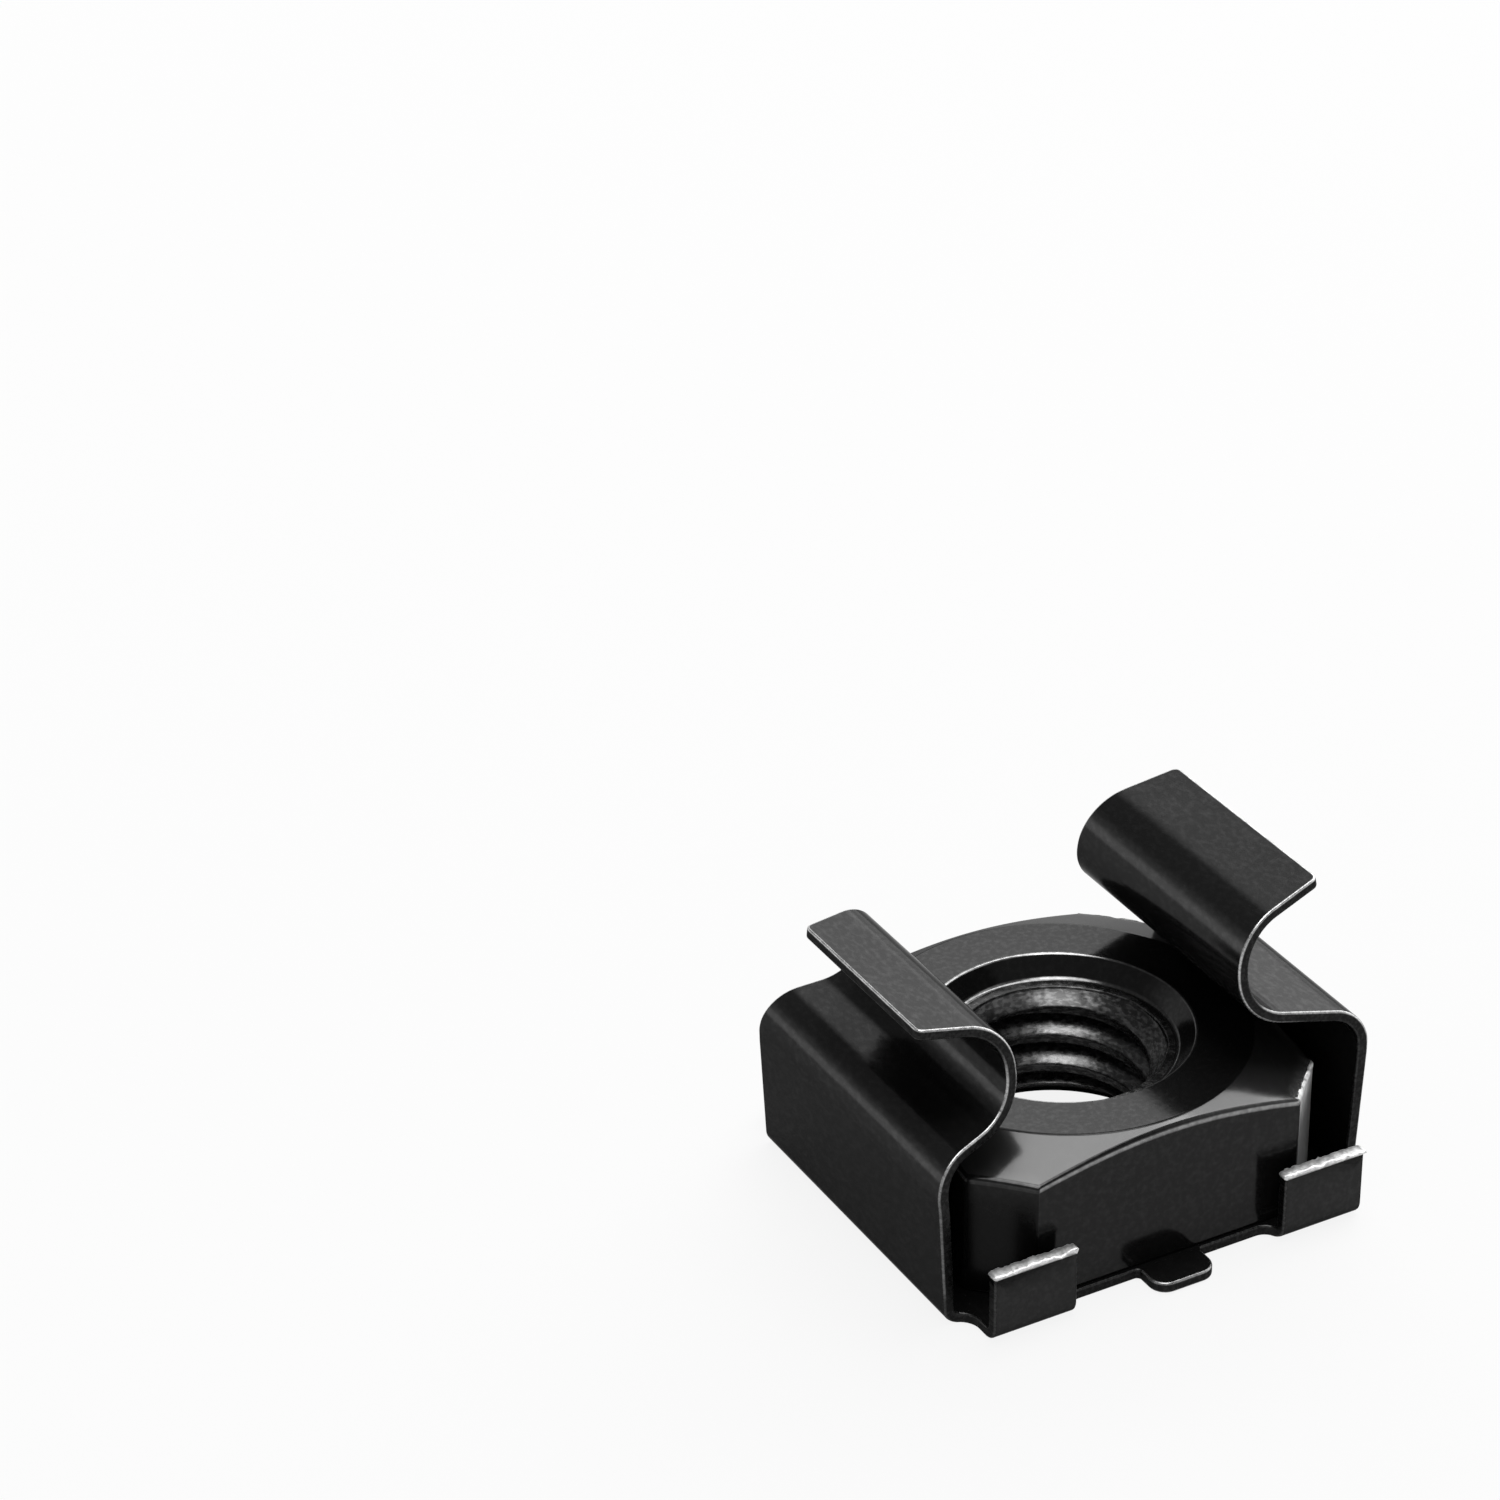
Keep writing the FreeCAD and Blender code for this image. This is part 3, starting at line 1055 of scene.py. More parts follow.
@dataclass
class SpringCage:
    """Cage as it is made: one punched blank of strip, folded into base, tabs, walls and ears.

    On the flat blank X and Y are lengths from the thread's axis along the sheet's middle
    line, and Z is the height above that line, on the side that faces the nut.
    """

    sheet: float = 0.33
    fold_radius: float = 0.285
    nut_top: float = 4.63
    wall_foot: float = 6.465
    wall_lean: float = math.radians(3.2)
    wall_half: float = 4.95
    edge_y: float = 5.72
    tab_face_y: float = 6.31
    tab_inner: float = 3.33
    tab_outer: float = 5.93
    tab_height: float = 2.2
    tongue_half: float = 0.975
    tongue_reach: float = 1.0
    hole_radius: float = 3.6
    rim: float = 0.07
    right: Ear = Ear(
        shoulder_gap=0.7,
        shoulder_slope=11.0,
        shoulder_radius=1.0,
        neck=3.2,
        neck_height=2.45,
        lower_radius=1.4,
        upper_radius=1.55,
        lip_slope=13.5,
        lip_reach=2.78,
        lip_length=6.9,
    )
    left: Ear = Ear(
        shoulder_gap=0.09,
        shoulder_slope=11.5,
        shoulder_radius=1.1,
        neck=3.98,
        neck_height=2.42,
        lower_radius=1.45,
        upper_radius=1.2,
        lip_slope=5.0,
        lip_reach=2.44,
        lip_length=6.0,
    )
    # Radii of the blank's corners.
    lip_corner: float = 0.25
    taper_corner: float = 3.0
    foot_corner: float = 0.6
    tab_corner: float = 0.12
    notch_corner: float = 0.45
    tongue_root: float = 0.12
    tongue_corner: float = 0.5
    # Longest steps along the blank's edges, and along its bends.
    edge_step: float = 0.3
    taper_step: float = 0.5
    notch_step: float = 0.4
    tongue_step: float = 0.2
    torn_step: float = 0.07
    corner_turn: float = math.radians(11)
    hole_points: int = 96
    cut_step: float = 1.0
    fold_turn: float = math.radians(5)
    tab_turn: float = math.radians(9)
    cut_tolerance: float = 1e-5
    # Room round a tab and beside the tongue when a place is looked up.
    margin: float = 0.1
    tongue_room: float = 0.2
    # The burr: a torn strip at the tabs' ends. A height is what its lumps swing about, and
    # the lumps are long waves, short ones and rags.
    burr_zone: float = 0.13
    burr_start: float = 0.6
    waves: Lumps = Lumps((1.3, 0.0), 7.7)
    lumps: Lumps = Lumps((4.5, 3.0), 2.2)
    rags: Lumps = Lumps((9.0, 6.0), 5.1)
    outer_height: float = 0.05
    outer_waves: float = 0.06
    outer_lumps: float = 0.12
    inner_height: float = 0.02
    inner_rags: float = 0.08
    end_lumps: float = 0.06
    end_rags: float = 0.04
    burr_flare: float = 0.05
    # Shares of rubbed metal on the burr, by depth through the sheet from the nut's side. The full
    # outer band also paints a bright highlight bead, and the dim middle band a painted shade line.
    outer_from: float = 0.72
    outer_wear_and_highlight: float = 1.0
    inner_to: float = 0.2
    inner_wear: float = 0.55
    middle_wear_and_shade: float = 0.1
    # Turns of a rim's normal between which it is rubbed, on the nut's side and outside.
    nut_side_rim: tuple[float, float] = (0.2, 1.4)
    outside_rim: tuple[float, float] = (1.7, 2.9)
    # Shares of rubbed metal on the rims. Places are lengths along the blank: the wear on
    # the nut's side grows towards the lips, and the outside is rubbed at the shoulders.
    # On the tongue the rubbed rims also paint the bright line where its edge catches light.
    tongue_wear_and_highlight: float = 0.5
    tab_wear: float = 0.06
    base_wear: float = 0.04
    lip_gain: float = 0.9
    lip_wear_from: float = 13.2
    lip_wear_to: float = 14.4
    shoulder_place: float = 12.6
    shoulder_core: float = 1.5
    shoulder_reach: float = 2.3
    shoulder_wear: float = 0.85
    wall_from: float = 7.0
    wall_to: float = 11.0
    wall_wear: float = 0.25
    other_wear: float = 0.08

    def side_line(self, ear: Ear) -> RoundedLine:
        """Set out the sheet from the middle of the base to the tip of a lip.

        Args:
            ear: Sizes of the ear on that side.

        Returns:
            Middle line of the sheet.
        """
        middle = self.sheet / 2
        rise = self.nut_top + ear.shoulder_gap
        shoulder_x = self.wall_foot + rise * math.tan(self.wall_lean)
        run = shoulder_x - ear.neck
        lower_z = middle + rise + run * math.tan(math.radians(ear.shoulder_slope))
        upper_z = lower_z + ear.neck_height
        tip_z = upper_z + ear.lip_reach * math.tan(math.radians(ear.lip_slope))
        corners = [
            (0.0, middle),
            (self.wall_foot, middle),
            (shoulder_x, middle + rise),
            (ear.neck, lower_z),
            (ear.neck, upper_z),
            (ear.neck + ear.lip_reach, tip_z),
        ]
        radii = [self.fold_radius, ear.shoulder_radius, ear.lower_radius, ear.upper_radius]
        return RoundedLine(corners, radii)

    def tab_line(self) -> RoundedLine:
        """Set out the sheet from the middle of the base to the end of a tab.

        Returns:
            Middle line of the sheet.
        """
        middle = self.sheet / 2
        fold = self.tab_face_y - middle
        corners = [(0.0, middle), (fold, middle), (fold, self.tab_height)]
        return RoundedLine(corners, [self.fold_radius])

    def quarter(self, ear: Ear) -> list[BlankCorner]:
        """Set out a quarter of the blank, from a lip's tip to the middle of a tongue.

        Args:
            ear: Sizes of the ear on it.

        Returns:
            Its corners.
        """
        line = self.side_line(ear)
        wall_end = line.stretches[3].start
        end = self.tab_line().length
        tip = self.edge_y + self.tongue_reach
        return [
            BlankCorner(line.length, ear.lip_length / 2, self.lip_corner, self.edge_step),
            BlankCorner(wall_end, self.wall_half, self.taper_corner, self.taper_step),
            BlankCorner(self.tab_outer, self.wall_half, self.foot_corner, self.edge_step),
            BlankCorner(self.tab_outer, end, self.tab_corner, self.torn_step),
            BlankCorner(self.tab_inner, end, self.tab_corner, self.edge_step),
            BlankCorner(self.tab_inner, self.edge_y, self.notch_corner, self.notch_step),
            BlankCorner(self.tongue_half, self.edge_y, self.tongue_root, self.tongue_step),
            BlankCorner(self.tongue_half, tip, self.tongue_corner, self.tongue_step),
        ]

    @staticmethod
    def turned_back(corners: list[BlankCorner], x_sign: int, y_sign: int) -> list[BlankCorner]:
        """Mirror a quarter and run it the other way, with each edge's own step.

        Args:
            corners: Corners of the quarter.
            x_sign: Minus one to mirror it in X.
            y_sign: Minus one to mirror it in Y.

        Returns:
            The mirrored corners from the last to the first.
        """
        back = corners[::-1]
        steps = [corner.step for corner in back[1:] + back[:1]]
        return [
            BlankCorner(corner.x * x_sign, corner.y * y_sign, corner.radius, step)
            for corner, step in zip(back, steps)
        ]

    def blank_loops(self) -> list[list[tuple[float, float]]]:
        """Set out the flat blank.

        Returns:
            Points of its outline and of its round hole, each loop with the sheet on its left.
        """
        right = self.quarter(self.right)
        left = self.quarter(self.left)
        loop = right + self.turned_back(left, -1, 1)
        loop += [replace(corner, x=-corner.x, y=-corner.y) for corner in left]
        loop += self.turned_back(right, 1, -1)
        start = (loop[0].x, 0.0)
        places = [start, *((corner.x, corner.y) for corner in loop), start]
        line = RoundedLine(places, [corner.radius for corner in loop])
        steps = [loop[-1].step, *(corner.step for corner in loop)]
        outline = []
        for number, stretch in enumerate(line.stretches):
            share = stretch.length / steps[number // 2]
            if stretch.curvature:
                share = stretch.length * abs(stretch.curvature) / self.corner_turn
            count = max(1, math.ceil(share))
            for i in range(count):
                outline.append(stretch.at(stretch.start + stretch.length * i / count)[:2])
        angles = [FULL_TURN * i / self.hole_points for i in range(self.hole_points)]
        hole = [(self.hole_radius * math.cos(a), -self.hole_radius * math.sin(a)) for a in angles]
        return [outline, hole]

    def blank(self) -> bmesh.types.BMesh:
        """Make the flat blank as a closed solid with rounded rims.

        Returns:
            The blank, with its shading normals and its wear and painted highlights kept on the
            vertices, and the edges that only fill its flat faces marked as diagonal.
        """
        bm = bmesh.new()
        slope = bm.verts.layers.float_vector.new("slope")
        rub_and_highlight = bm.verts.layers.float.new("rub_and_highlight")
        diagonal = bm.edges.layers.int.new("diagonal")
        half = self.sheet / 2
        turns = [0, math.pi / 6, math.pi / 3, math.pi / 2]
        rows = [(self.rim * (1 - math.sin(a)), half - self.rim * (1 - math.cos(a)), a) for a in turns]
        rows += [(inset, -lift, math.pi - a) for inset, lift, a in reversed(rows)]
        caps: list[list] = [[], []]
        for loop in self.blank_loops():
            flat = np.array(loop)
            ahead = np.roll(flat, -1, 0) - flat
            ahead /= np.linalg.norm(ahead, axis=1, keepdims=True)
            sideways = np.stack([-ahead[:, 1], ahead[:, 0]], 1)
            inward = sideways + np.roll(sideways, 1, 0)
            inward /= np.linalg.norm(inward, axis=1, keepdims=True)
            inward /= (inward * sideways).sum(1)[:, None]
            rings = []
            for inset, lift, tilt in rows:
                ring = []
                for (x, y), (ix, iy) in zip(flat + inward * inset, inward):
                    vert = bm.verts.new((x, y, lift))
                    out = math.sin(tilt)
                    vert[slope] = Vector((-ix * out, -iy * out, math.cos(tilt)))
                    vert[rub_and_highlight] = self.rim_wear(x, y, tilt)
                    ring.append(vert)
                rings.append(ring)
            count = len(loop)
            for upper, lower in zip(rings, rings[1:]):
                for i in range(count):
                    j = (i + 1) % count
                    face = bm.faces.new((upper[j], upper[i], lower[i], lower[j]))
                    face.material_index = CageSlot.PUNCHED
            for cap, ring in zip(caps, (rings[0], rings[-1])):
                cap += [bm.edges.get((ring[i], ring[(i + 1) % count])) for i in range(count)]
        for cap in caps:
            known = set(cap)
            made = bmesh.ops.triangle_fill(bm, edges=cap, use_beauty=True)["geom"]
            for item in made:
                if isinstance(item, bmesh.types.BMEdge) and item not in known:
                    item[diagonal] = 1
        return bm

    def rim_wear(self, x: float, y: float, tilt: float) -> float:
        """How far a rim of the punched edge is rubbed bright.

        Args:
            x: Place across the blank.
            y: Place along the blank.
            tilt: Turn of the rim's normal from the nut's side towards the outside.

        Returns:
            Share of rubbed metal: most at the rims of the ears, least at base and tabs.
        """
        on_nut_side = self.nut_side_rim[0] < tilt < self.nut_side_rim[1]
        if not on_nut_side and not self.outside_rim[0] < tilt < self.outside_rim[1]:
            return 0.0
        if abs(y) > self.edge_y + self.margin:
            on_tongue = abs(x) < self.tongue_half + self.tongue_room
            # On the tongue the rubbed colour also paints the highlight of its edge.
            return self.tongue_wear_and_highlight if on_tongue else self.tab_wear
        if on_nut_side:
            return self.base_wear + self.lip_gain * ramp(abs(x), self.lip_wear_from, self.lip_wear_to)
        past = abs(abs(x) - self.shoulder_place)
        shoulder = ramp(past, self.shoulder_reach, self.shoulder_core)
        elsewhere = self.wall_wear if self.wall_from < abs(x) < self.wall_to else self.other_wear
        return self.shoulder_wear * shoulder + elsewhere * (1.0 - shoulder)

    def cut_for_folding(self, bm: bmesh.types.BMesh) -> None:
        """Cut the blank across at every place where it has to bend.

        Args:
            bm: The flat blank.
        """
        across = Vector((1, 0, 0))
        along = Vector((0, 1, 0))
        cuts = []
        for side, ear in ((Side.RIGHT, self.right), (Side.LEFT, self.left)):
            for station in self.side_line(ear).stations(self.cut_step, self.fold_turn):
                cuts.append((across * station * side.value, across))
        tabs = self.tab_line()
        stations = tabs.stations(self.cut_step, self.tab_turn)
        for station in [*stations, tabs.length - self.burr_zone]:
            cuts.append((along * station, along))
            cuts.append((along * -station, along))
        cuts += [(Vector((0, 0, 0)), across), (Vector((0, 0, 0)), along)]
        for place, direction in cuts:
            bmesh.ops.bisect_plane(
                bm,
                geom=bm.verts[:] + bm.edges[:] + bm.faces[:],
                dist=self.cut_tolerance,
                plane_co=place,
                plane_no=direction,
            )
        layer = bm.edges.layers.int["diagonal"]
        extra = [edge for edge in bm.edges if edge[layer]]
        bmesh.ops.dissolve_edges(bm, edges=extra, use_verts=True)

    def past_burr_start(self, place: Vector) -> float:
        """Length by which a point of the flat blank lies past the start of the torn strip."""
        return abs(place.y) - (self.tab_line().length - self.burr_zone)

    def in_burr(self, place: Vector) -> bool:
        """Whether a point of the flat blank lies in the torn strip at the end of a tab."""
        on_tab = self.tab_inner - self.margin < abs(place.x) < self.tab_outer + self.margin
        return on_tab and self.past_burr_start(place) > self.cut_tolerance / 10

    def outwards(self, place: Vector) -> float:
        """Depth of a point through the sheet: 0 on the nut's side, 1 on the outside."""
        return (self.sheet / 2 - place.z) / self.sheet

    def tear(self, place: Vector) -> Vector:
        """Move a point of the flat blank by the burr that the cut-off left at a tab's end.

        Args:
            place: Point of the blank.

        Returns:
            Its new place.
        """
        if not self.in_burr(place):
            return place
        share = ramp(self.past_burr_start(place), 0.0, self.burr_start * self.burr_zone)
        outside = self.outwards(place)
        wave, lump, rag = (l.at(place.x, place.z) for l in (self.waves, self.lumps, self.rags))
        outer = self.outer_height + self.outer_waves * wave + self.outer_lumps * lump
        inner = self.inner_height + self.inner_rags * rag
        end = self.end_lumps * lump + self.end_rags * rag
        middle = (self.tab_inner + self.tab_outer) / 2
        flare = (abs(place.x) - middle) * self.burr_flare
        moved = place.copy()
        moved.x += math.copysign(1, place.x) * flare * share
        moved.y += math.copysign(share * end, place.y)
        moved.z -= share * outside * max(0.0, outer)
        moved.z += share * (1 - outside) * max(0.0, inner)
        return moved

    @staticmethod
    def bent(
        line: RoundedLine, flat: tuple[float, float], tilt: tuple[float, float]
    ) -> tuple[tuple[float, float], tuple[float, float]]:
        """Carry a point of the flat blank onto a folded middle line.

        Args:
            line: Middle line, which both signs of the place along it share.
            flat: Place along the line from the axis, and height above the sheet's middle.
            tilt: Parts of the point's normal along and across the flat sheet.

        Returns:
            The folded place and the folded normal, each as its part out from the axis and
            its part upwards.
        """
        sign = math.copysign(1, flat[0])
        out, up, heading = line.at(abs(flat[0]))
        cos, sin = math.cos(heading), math.sin(heading)
        place = (sign * (out - flat[1] * sin), up + flat[1] * cos)
        along = sign * tilt[0]
        normal = (sign * (along * cos - tilt[1] * sin), along * sin + tilt[1] * cos)
        return place, normal

    def fold(self, bm: bmesh.types.BMesh) -> tuple[np.ndarray, np.ndarray]:
        """Tear the tabs' ends and fold the cut blank along its middle lines.

        Args:
            bm: Blank with its cuts.

        Returns:
            Place and shading normal of each vertex.
        """
        lines = {Side.RIGHT: self.side_line(self.right), Side.LEFT: self.side_line(self.left)}
        tabs = self.tab_line()
        tab_fold = tabs.stretches[1].start
        slope = bm.verts.layers.float_vector["slope"]
        places, normals = [], []
        for vert in bm.verts:
            flat = self.tear(vert.co)
            tilt = vert[slope]
            if abs(flat.y) > tab_fold and abs(flat.x) > self.tongue_half + self.tongue_room:
                place, normal = self.bent(tabs, (flat.y, flat.z), (tilt.y, tilt.z))
                places.append((flat.x, *place))
                normals.append((tilt.x, *normal))
            else:
                line = lines[Side.RIGHT if flat.x >= 0 else Side.LEFT]
                place, normal = self.bent(line, (flat.x, flat.z), (tilt.x, tilt.z))
                places.append((place[0], flat.y, place[1]))
                normals.append((normal[0], tilt.y, normal[1]))
        length = np.linalg.norm(normals, axis=1, keepdims=True)
        return np.array(places), np.array(normals) / np.maximum(length, NO_LENGTH)

    @staticmethod
    def shade_burrs(places: np.ndarray, normals: np.ndarray, faces: list) -> None:
        """Give the torn faces normals that follow their lumps.

        Args:
            places: Place of each vertex.
            normals: Shading normal of each vertex, changed in place.
            faces: Vertex numbers of the torn faces.
        """
        total: dict[int, np.ndarray] = {}
        for face in faces:
            ring = places[face]
            area = np.cross(ring, np.roll(ring, -1, 0)).sum(0)
            for vert in face:
                total[vert] = total.get(vert, 0) + area
        for vert, area in total.items():
            normals[vert] = area / max(float(np.linalg.norm(area)), NO_LENGTH)

    def burr_wear_and_light(self, place: Vector) -> float:
        """How far the burr is rubbed, or painted lit or shaded, at a point of the flat blank.

        Args:
            place: Point in the torn strip.

        Returns:
            Share of rubbed metal: full on the outside, where it also paints a highlight bead, less on
                the nut's side, and least between, a painted shade line.
        """
        if self.outwards(place) > self.outer_from:
            return self.outer_wear_and_highlight
        return self.inner_wear if self.outwards(place) < self.inner_to else self.middle_wear_and_shade

    def build(self) -> bpy.types.Object:
        """Punch, cut, fold and dress the cage.

        Returns:
            The cage, standing for its CAD node.
        """
        bm = self.blank()
        self.cut_for_folding(bm)
        bmesh.ops.recalc_face_normals(bm, faces=bm.faces[:])
        bm.verts.ensure_lookup_table()
        bm.verts.index_update()
        places, normals = self.fold(bm)
        rim = bm.verts.layers.float["rub_and_highlight"]
        rub_and_highlight = [self.burr_wear_and_light(v.co) if self.in_burr(v.co) else v[rim] for v in bm.verts]
        faces, finish_of_face = [], []
        for face in bm.faces:
            torn = self.in_burr(face.calc_center_median())
            faces.append([vert.index for vert in face.verts])
            finish_of_face.append(CageSlot.BURR if torn else face.material_index)
        bm.free()
        torn_faces = [f for f, slot in zip(faces, finish_of_face) if slot == CageSlot.BURR]
        self.shade_burrs(places, normals, torn_faces)
        finishes = {
            CageSlot.STRIP: ROLLED_STRIP_FINISH,
            CageSlot.PUNCHED: PUNCHED_EDGE_FINISH,
            CageSlot.BURR: BURR_FINISH,
        }
        piece = finished_piece(
            "spring_cage_body",
            places,
            faces,
            normals,
            np.array(rub_and_highlight),
            [finishes[slot] for slot in CageSlot],
            finish_of_face,
        )
        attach(piece, BODY)
        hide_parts("spring_cage")
        return piece


def toward(azimuth: float, elevation: float) -> Vector:
    """Unit vector towards an azimuth and an elevation in degrees."""
    turn, rise = math.radians(azimuth), math.radians(elevation)
    return Vector((math.cos(turn) * math.cos(rise), math.sin(turn) * math.cos(rise), math.sin(rise)))


@dataclass(frozen=True)
class Panel:
    """A soft pale panel of the room that only the gloss shows. Angles are degrees."""

    azimuth: float
    elevation: float
    spread: float
    level: float


@dataclass(frozen=True)
class Softbox:
    """A soft rectangular lamp that looks at the part. Angles are degrees."""

    name: str
    azimuth: float
    elevation: float
    distance_mm: float
    width_mm: float
    height_mm: float
    radiance: float

    def build(self, target: Vector) -> bpy.types.Object:
        """Hang the lamp.

        Args:
            target: Point that it looks at, in metres.

        Returns:
            The lamp object.
        """
        data = bpy.data.lights.new(self.name, "AREA")
        data.shape = "RECTANGLE"
        data.size = self.width_mm * MM
        data.size_y = self.height_mm * MM
        data.energy = self.radiance * math.pi * data.size * data.size_y
        lamp = bpy.data.objects.new(self.name, data)
        direction = toward(self.azimuth, self.elevation)
        lamp.location = target + direction * self.distance_mm * MM
        lamp.rotation_mode = "QUATERNION"
        lamp.rotation_quaternion = (-direction).to_track_quat("-Z", "Y")
        bpy.context.scene.collection.objects.link(lamp)
        return lamp


@dataclass
class Studio:
    """Pale floor, dim room with a white sweep round it, two softboxes and the camera."""

    # Pale matt paper. To the gloss it is dark within covered_mm of the axis, where the part
    # stands over it, and lit in full from open_mm outwards.
    floor_colour: str = "#e4e4e4"
    floor_half_mm: float = 1500.0
    floor_drop_mm: float = 0.01
    floor_glow: float = 0.88
    glossy_glow: float = 0.55
    covered_mm: float = 3.4
    open_mm: float = 7.0
    paper_roughness: float = 0.9
    paper_gloss: float = 0.2
    # The room. Its sweep is white up to sweep_top and has turned into the ceiling at
    # ceiling_from, both as the sine of the elevation. Fill is what lights the part.
    fill: float = 0.22
    sweep: float = 1.0
    ceiling: float = 0.25
    sweep_top: float = 0.2
    ceiling_from: float = 0.5
    panel_core: float = 0.3
    # The camera's place and axes, solved from the photograph's perspective.
    camera_mm: tuple[float, float, float] = (-58.313, -89.768, 74.758)
    right: tuple[float, float, float] = (0.87597, -0.48223, -0.01142)
    down: tuple[float, float, float] = (-0.24866, -0.43115, -0.86734)
    forward: tuple[float, float, float] = (0.41333, 0.7626, -0.49759)
    lens: float = 110.5
    sensor: float = 36.0
    nearest_mm: float = 5.0
    farthest_mm: float = 20000.0
    aim_mm: float = 4.0
    # The last panel is near the zenith on the camera's side, for the thread's upper flanks.
    panels: tuple[Panel, ...] = (
        Panel(azimuth=70.0, elevation=46.0, spread=18.0, level=1.2),
        Panel(azimuth=16.0, elevation=50.0, spread=15.0, level=3.0),
        Panel(azimuth=-5.0, elevation=20.0, spread=50.0, level=1.6),
        Panel(azimuth=46.0, elevation=4.0, spread=20.0, level=3.4),
        Panel(azimuth=135.0, elevation=4.0, spread=12.0, level=1.4),
        Panel(azimuth=-123.0, elevation=73.0, spread=24.0, level=6.0),
    )
    softboxes: tuple[Softbox, ...] = (
        Softbox(
            name="overhead_softbox",
            azimuth=28.0,
            elevation=78.0,
            distance_mm=500.0,
            width_mm=250.0,
            height_mm=384.0,
            radiance=4.6,
        ),
        Softbox(
            name="back_softbox",
            azimuth=44.0,
            elevation=29.0,
            distance_mm=600.0,
            width_mm=800.0,
            height_mm=300.0,
            radiance=4.0,
        ),
    )

    def paper(self) -> bpy.types.Material:
        """Make the floor's paper.

        Returns:
            Matt paper that is white to the camera and keeps the part's shadow.
        """
        paper = bpy.data.materials.new("pale_matt_paper")
        paper.use_nodes = True
        tree = paper.node_tree
        shader = tree.nodes["Principled BSDF"]
        shader.inputs["Base Color"].default_value = linear(self.floor_colour)
        shader.inputs["Roughness"].default_value = self.paper_roughness
        shader.inputs["Specular IOR Level"].default_value = self.paper_gloss
        direct, glossy = self.ray_kinds(tree)
        place = add_node(tree, "ShaderNodeTexCoord").outputs["Object"]
        away = add_node(tree, "ShaderNodeVectorMath", {"operation": "LENGTH"}, {0: place})
        open_floor = add_node(
            tree,
            "ShaderNodeMapRange",
            {
                "From Min": self.covered_mm * MM,
                "From Max": self.open_mm * MM,
                "To Min": 0.0,
                "To Max": self.glossy_glow,
            },
            {"Value": away.outputs["Value"]},
        ).outputs[0]
        reflected = add_node(
            tree, "ShaderNodeMath", {"operation": "MULTIPLY"}, {0: open_floor, 1: glossy}
        ).outputs[0]
        share = add_node(
            tree,
            "ShaderNodeMath",
            {"operation": "MULTIPLY_ADD", 1: self.floor_glow},
            {0: direct, 2: reflected},
        ).outputs[0]
        glow = add_node(tree, "ShaderNodeEmission", {"Color": linear(WHITE), "Strength": 1.0})
        mix = add_node(
            tree,
            "ShaderNodeMixShader",
            None,
            {0: share, 1: shader.outputs[0], 2: glow.outputs[0]},
        )
        tree.links.new(mix.outputs[0], tree.nodes["Material Output"].inputs["Surface"])
        return paper

    def floor(self) -> None:
        """Lay the floor, a hair below the part."""
        mesh = bpy.data.meshes.new("floor")
        h = self.floor_half_mm * MM
        mesh.from_pydata([(-h, -h, 0), (h, -h, 0), (h, h, 0), (-h, h, 0)], [], [(0, 1, 2, 3)])
        mesh.materials.append(self.paper())
        floor = bpy.data.objects.new("floor", mesh)
        floor.location.z = -self.floor_drop_mm * MM
        bpy.context.scene.collection.objects.link(floor)

    @staticmethod
    def ray_kinds(tree: bpy.types.NodeTree) -> tuple[bpy.types.NodeSocket, bpy.types.NodeSocket]:
        """Tell the rays that show the background from those that light the part.

        Args:
            tree: Node tree that gets the nodes.

        Returns:
            A socket that is one for rays from the camera, and one for reflected rays.
        """
        path = add_node(tree, "ShaderNodeLightPath")
        direct = add_node(
            tree,
            "ShaderNodeMath",
            {"operation": "MAXIMUM"},
            {0: path.outputs["Is Camera Ray"], 1: path.outputs["Is Transmission Ray"]},
        ).outputs[0]
        return direct, path.outputs["Is Glossy Ray"]

    def reflected_level(self, tree: bpy.types.NodeTree) -> bpy.types.NodeSocket:
        """Brightness that the gloss sees: a white sweep, a dim ceiling and soft panels.

        Args:
            tree: Node tree of the world.

        Returns:
            A socket with the brightness in a direction.
        """
        direction = add_node(tree, "ShaderNodeTexCoord").outputs["Generated"]
        height = add_node(tree, "ShaderNodeSeparateXYZ", None, {0: direction}).outputs["Z"]
        level = add_node(
            tree,
            "ShaderNodeMapRange",
            {
                "interpolation_type": "SMOOTHSTEP",
                "From Min": self.sweep_top,
                "From Max": self.ceiling_from,
                "To Min": self.sweep,
                "To Max": self.ceiling,
            },
            {"Value": height},
        ).outputs[0]
        for panel in self.panels:
            near = add_node(
                tree,
                "ShaderNodeVectorMath",
                {"operation": "DOT_PRODUCT", 1: tuple(toward(panel.azimuth, panel.elevation))},
                {0: direction},
            ).outputs["Value"]
            glow = add_node(
                tree,
                "ShaderNodeMapRange",
                {
                    "interpolation_type": "SMOOTHSTEP",
                    "From Min": math.cos(math.radians(panel.spread)),
                    "From Max": math.cos(math.radians(panel.spread * self.panel_core)),
                    "To Min": 0.0,
                    "To Max": panel.level,
                },
                {"Value": near},
            ).outputs[0]
            total = add_node(tree, "ShaderNodeMath", {"operation": "ADD"}, {0: level, 1: glow})
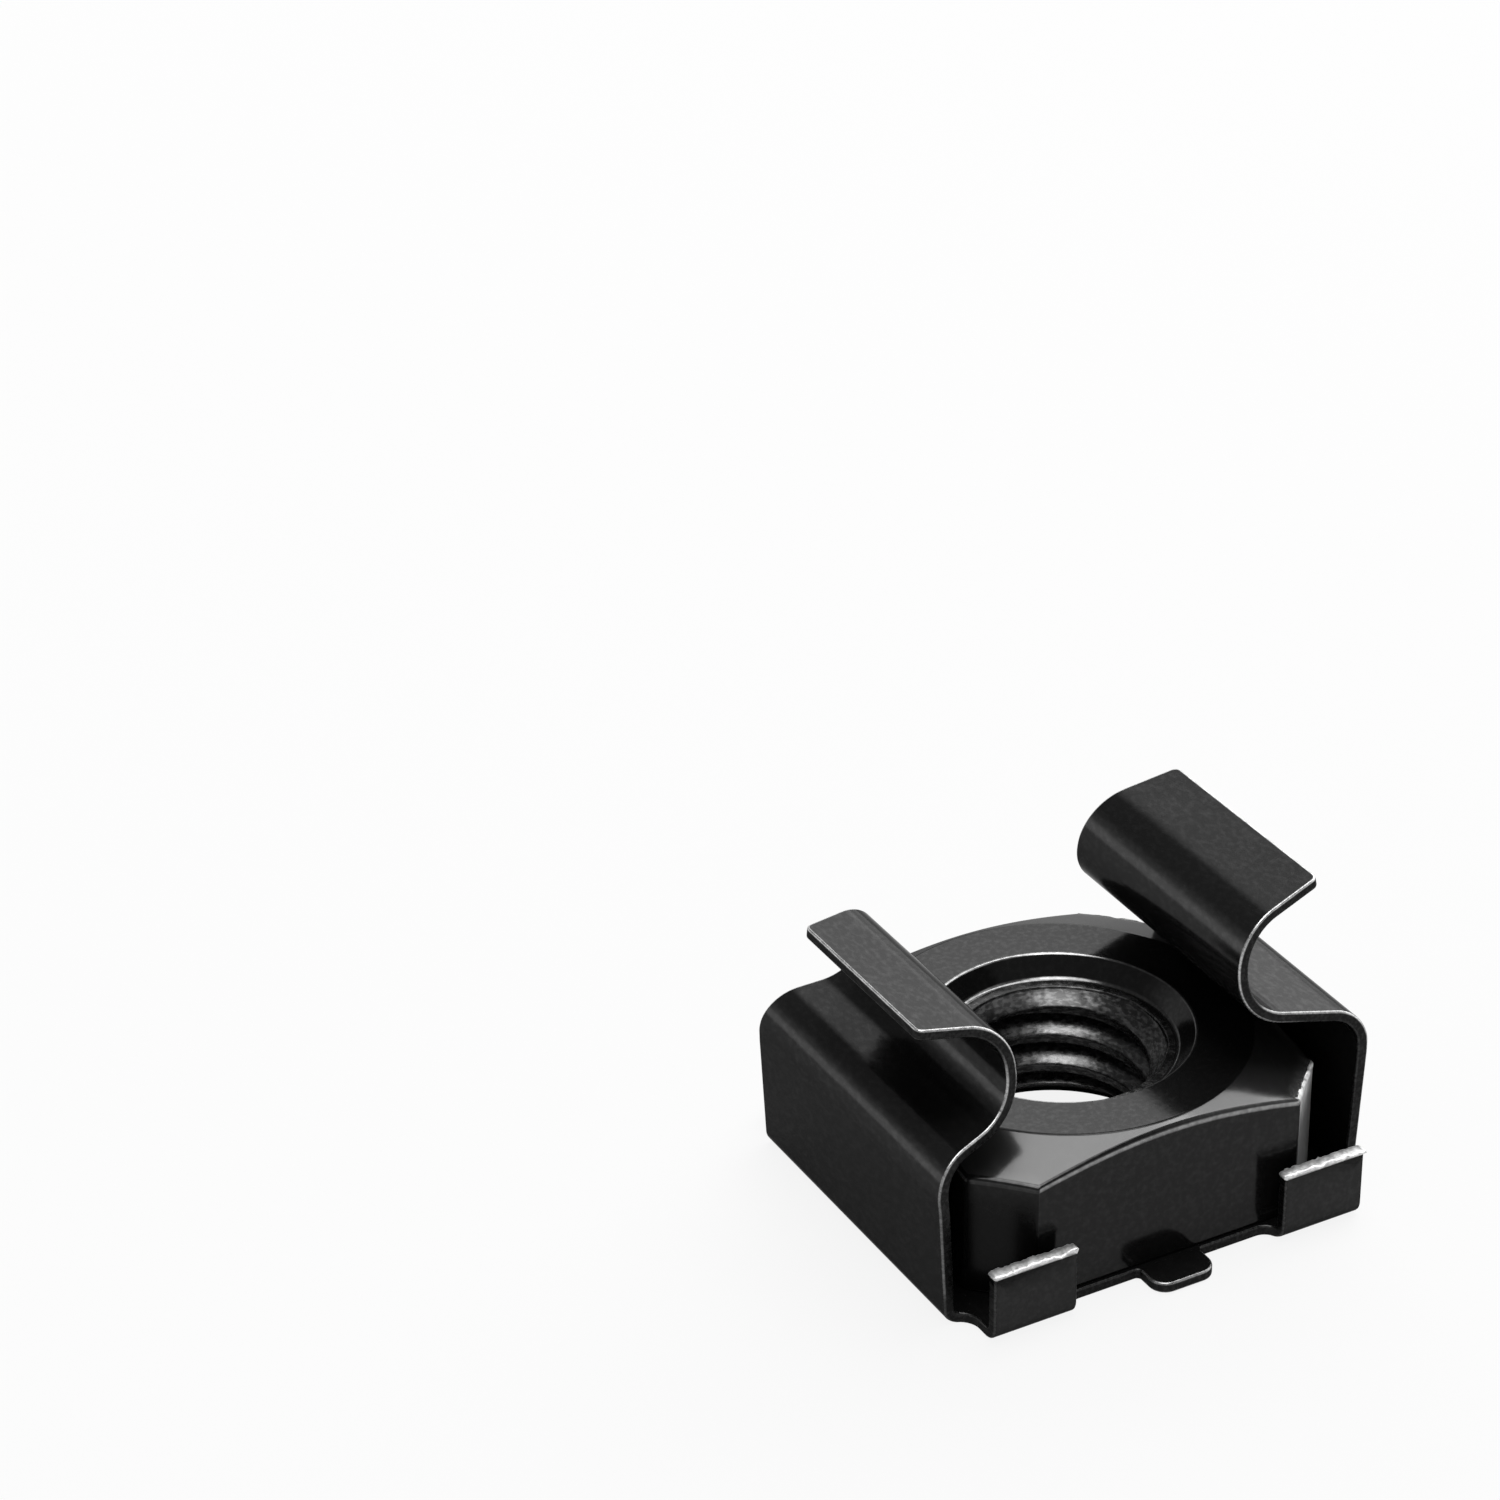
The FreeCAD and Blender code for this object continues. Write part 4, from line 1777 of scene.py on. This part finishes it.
            level = total.outputs[0]
        return level

    def room(self) -> None:
        """Surround the part with soft fill, and with what camera and gloss see."""
        world = bpy.data.worlds.new("studio")
        bpy.context.scene.world = world
        world.use_nodes = True
        tree = world.node_tree
        tree.nodes.clear()
        kind = "ShaderNodeBackground"
        soft = add_node(tree, kind, {"Color": linear(WHITE), "Strength": self.fill}).outputs[0]
        seen = {"Strength": self.reflected_level(tree)}
        gloss = add_node(tree, kind, {"Color": linear(WHITE)}, seen).outputs[0]
        white = add_node(tree, kind, {"Color": linear(WHITE), "Strength": 1.0}).outputs[0]
        direct, glossy = self.ray_kinds(tree)
        lit = add_node(
            tree, "ShaderNodeMixShader", None, {0: glossy, 1: soft, 2: gloss}
        ).outputs[0]
        shown = add_node(
            tree, "ShaderNodeMixShader", None, {0: direct, 1: lit, 2: white}
        ).outputs[0]
        add_node(tree, "ShaderNodeOutputWorld", None, {0: shown})

    def camera(self) -> None:
        """Set the camera at the photograph's place and angle."""
        data = bpy.data.cameras.new("camera")
        data.lens = self.lens
        data.sensor_width = self.sensor
        data.clip_start = self.nearest_mm * MM
        data.clip_end = self.farthest_mm * MM
        camera = bpy.data.objects.new("camera", data)
        axes = Matrix((self.right, [-v for v in self.down], [-v for v in self.forward])).transposed()
        camera.matrix_world = Matrix.Translation(Vector(self.camera_mm) * MM) @ axes.to_4x4()
        bpy.context.scene.collection.objects.link(camera)
        bpy.context.scene.camera = camera

    def build(self) -> None:
        """Set up floor, room, lamps and camera."""
        bpy.context.scene.view_settings.view_transform = "Standard"
        self.floor()
        self.room()
        for softbox in self.softboxes:
            softbox.build(Vector((0.0, 0.0, self.aim_mm * MM)))
        self.camera()


def main() -> None:
    """Build the pieces and the studio."""
    logging.basicConfig(level=logging.INFO, format="%(name)s: %(message)s")
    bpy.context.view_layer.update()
    for part in (SquareNut(), SpringCage()):
        piece = part.build()
        LOG.info("%s: %d faces", piece.name, len(piece.data.polygons))
    Studio().build()


if __name__ == "__main__":
    main()
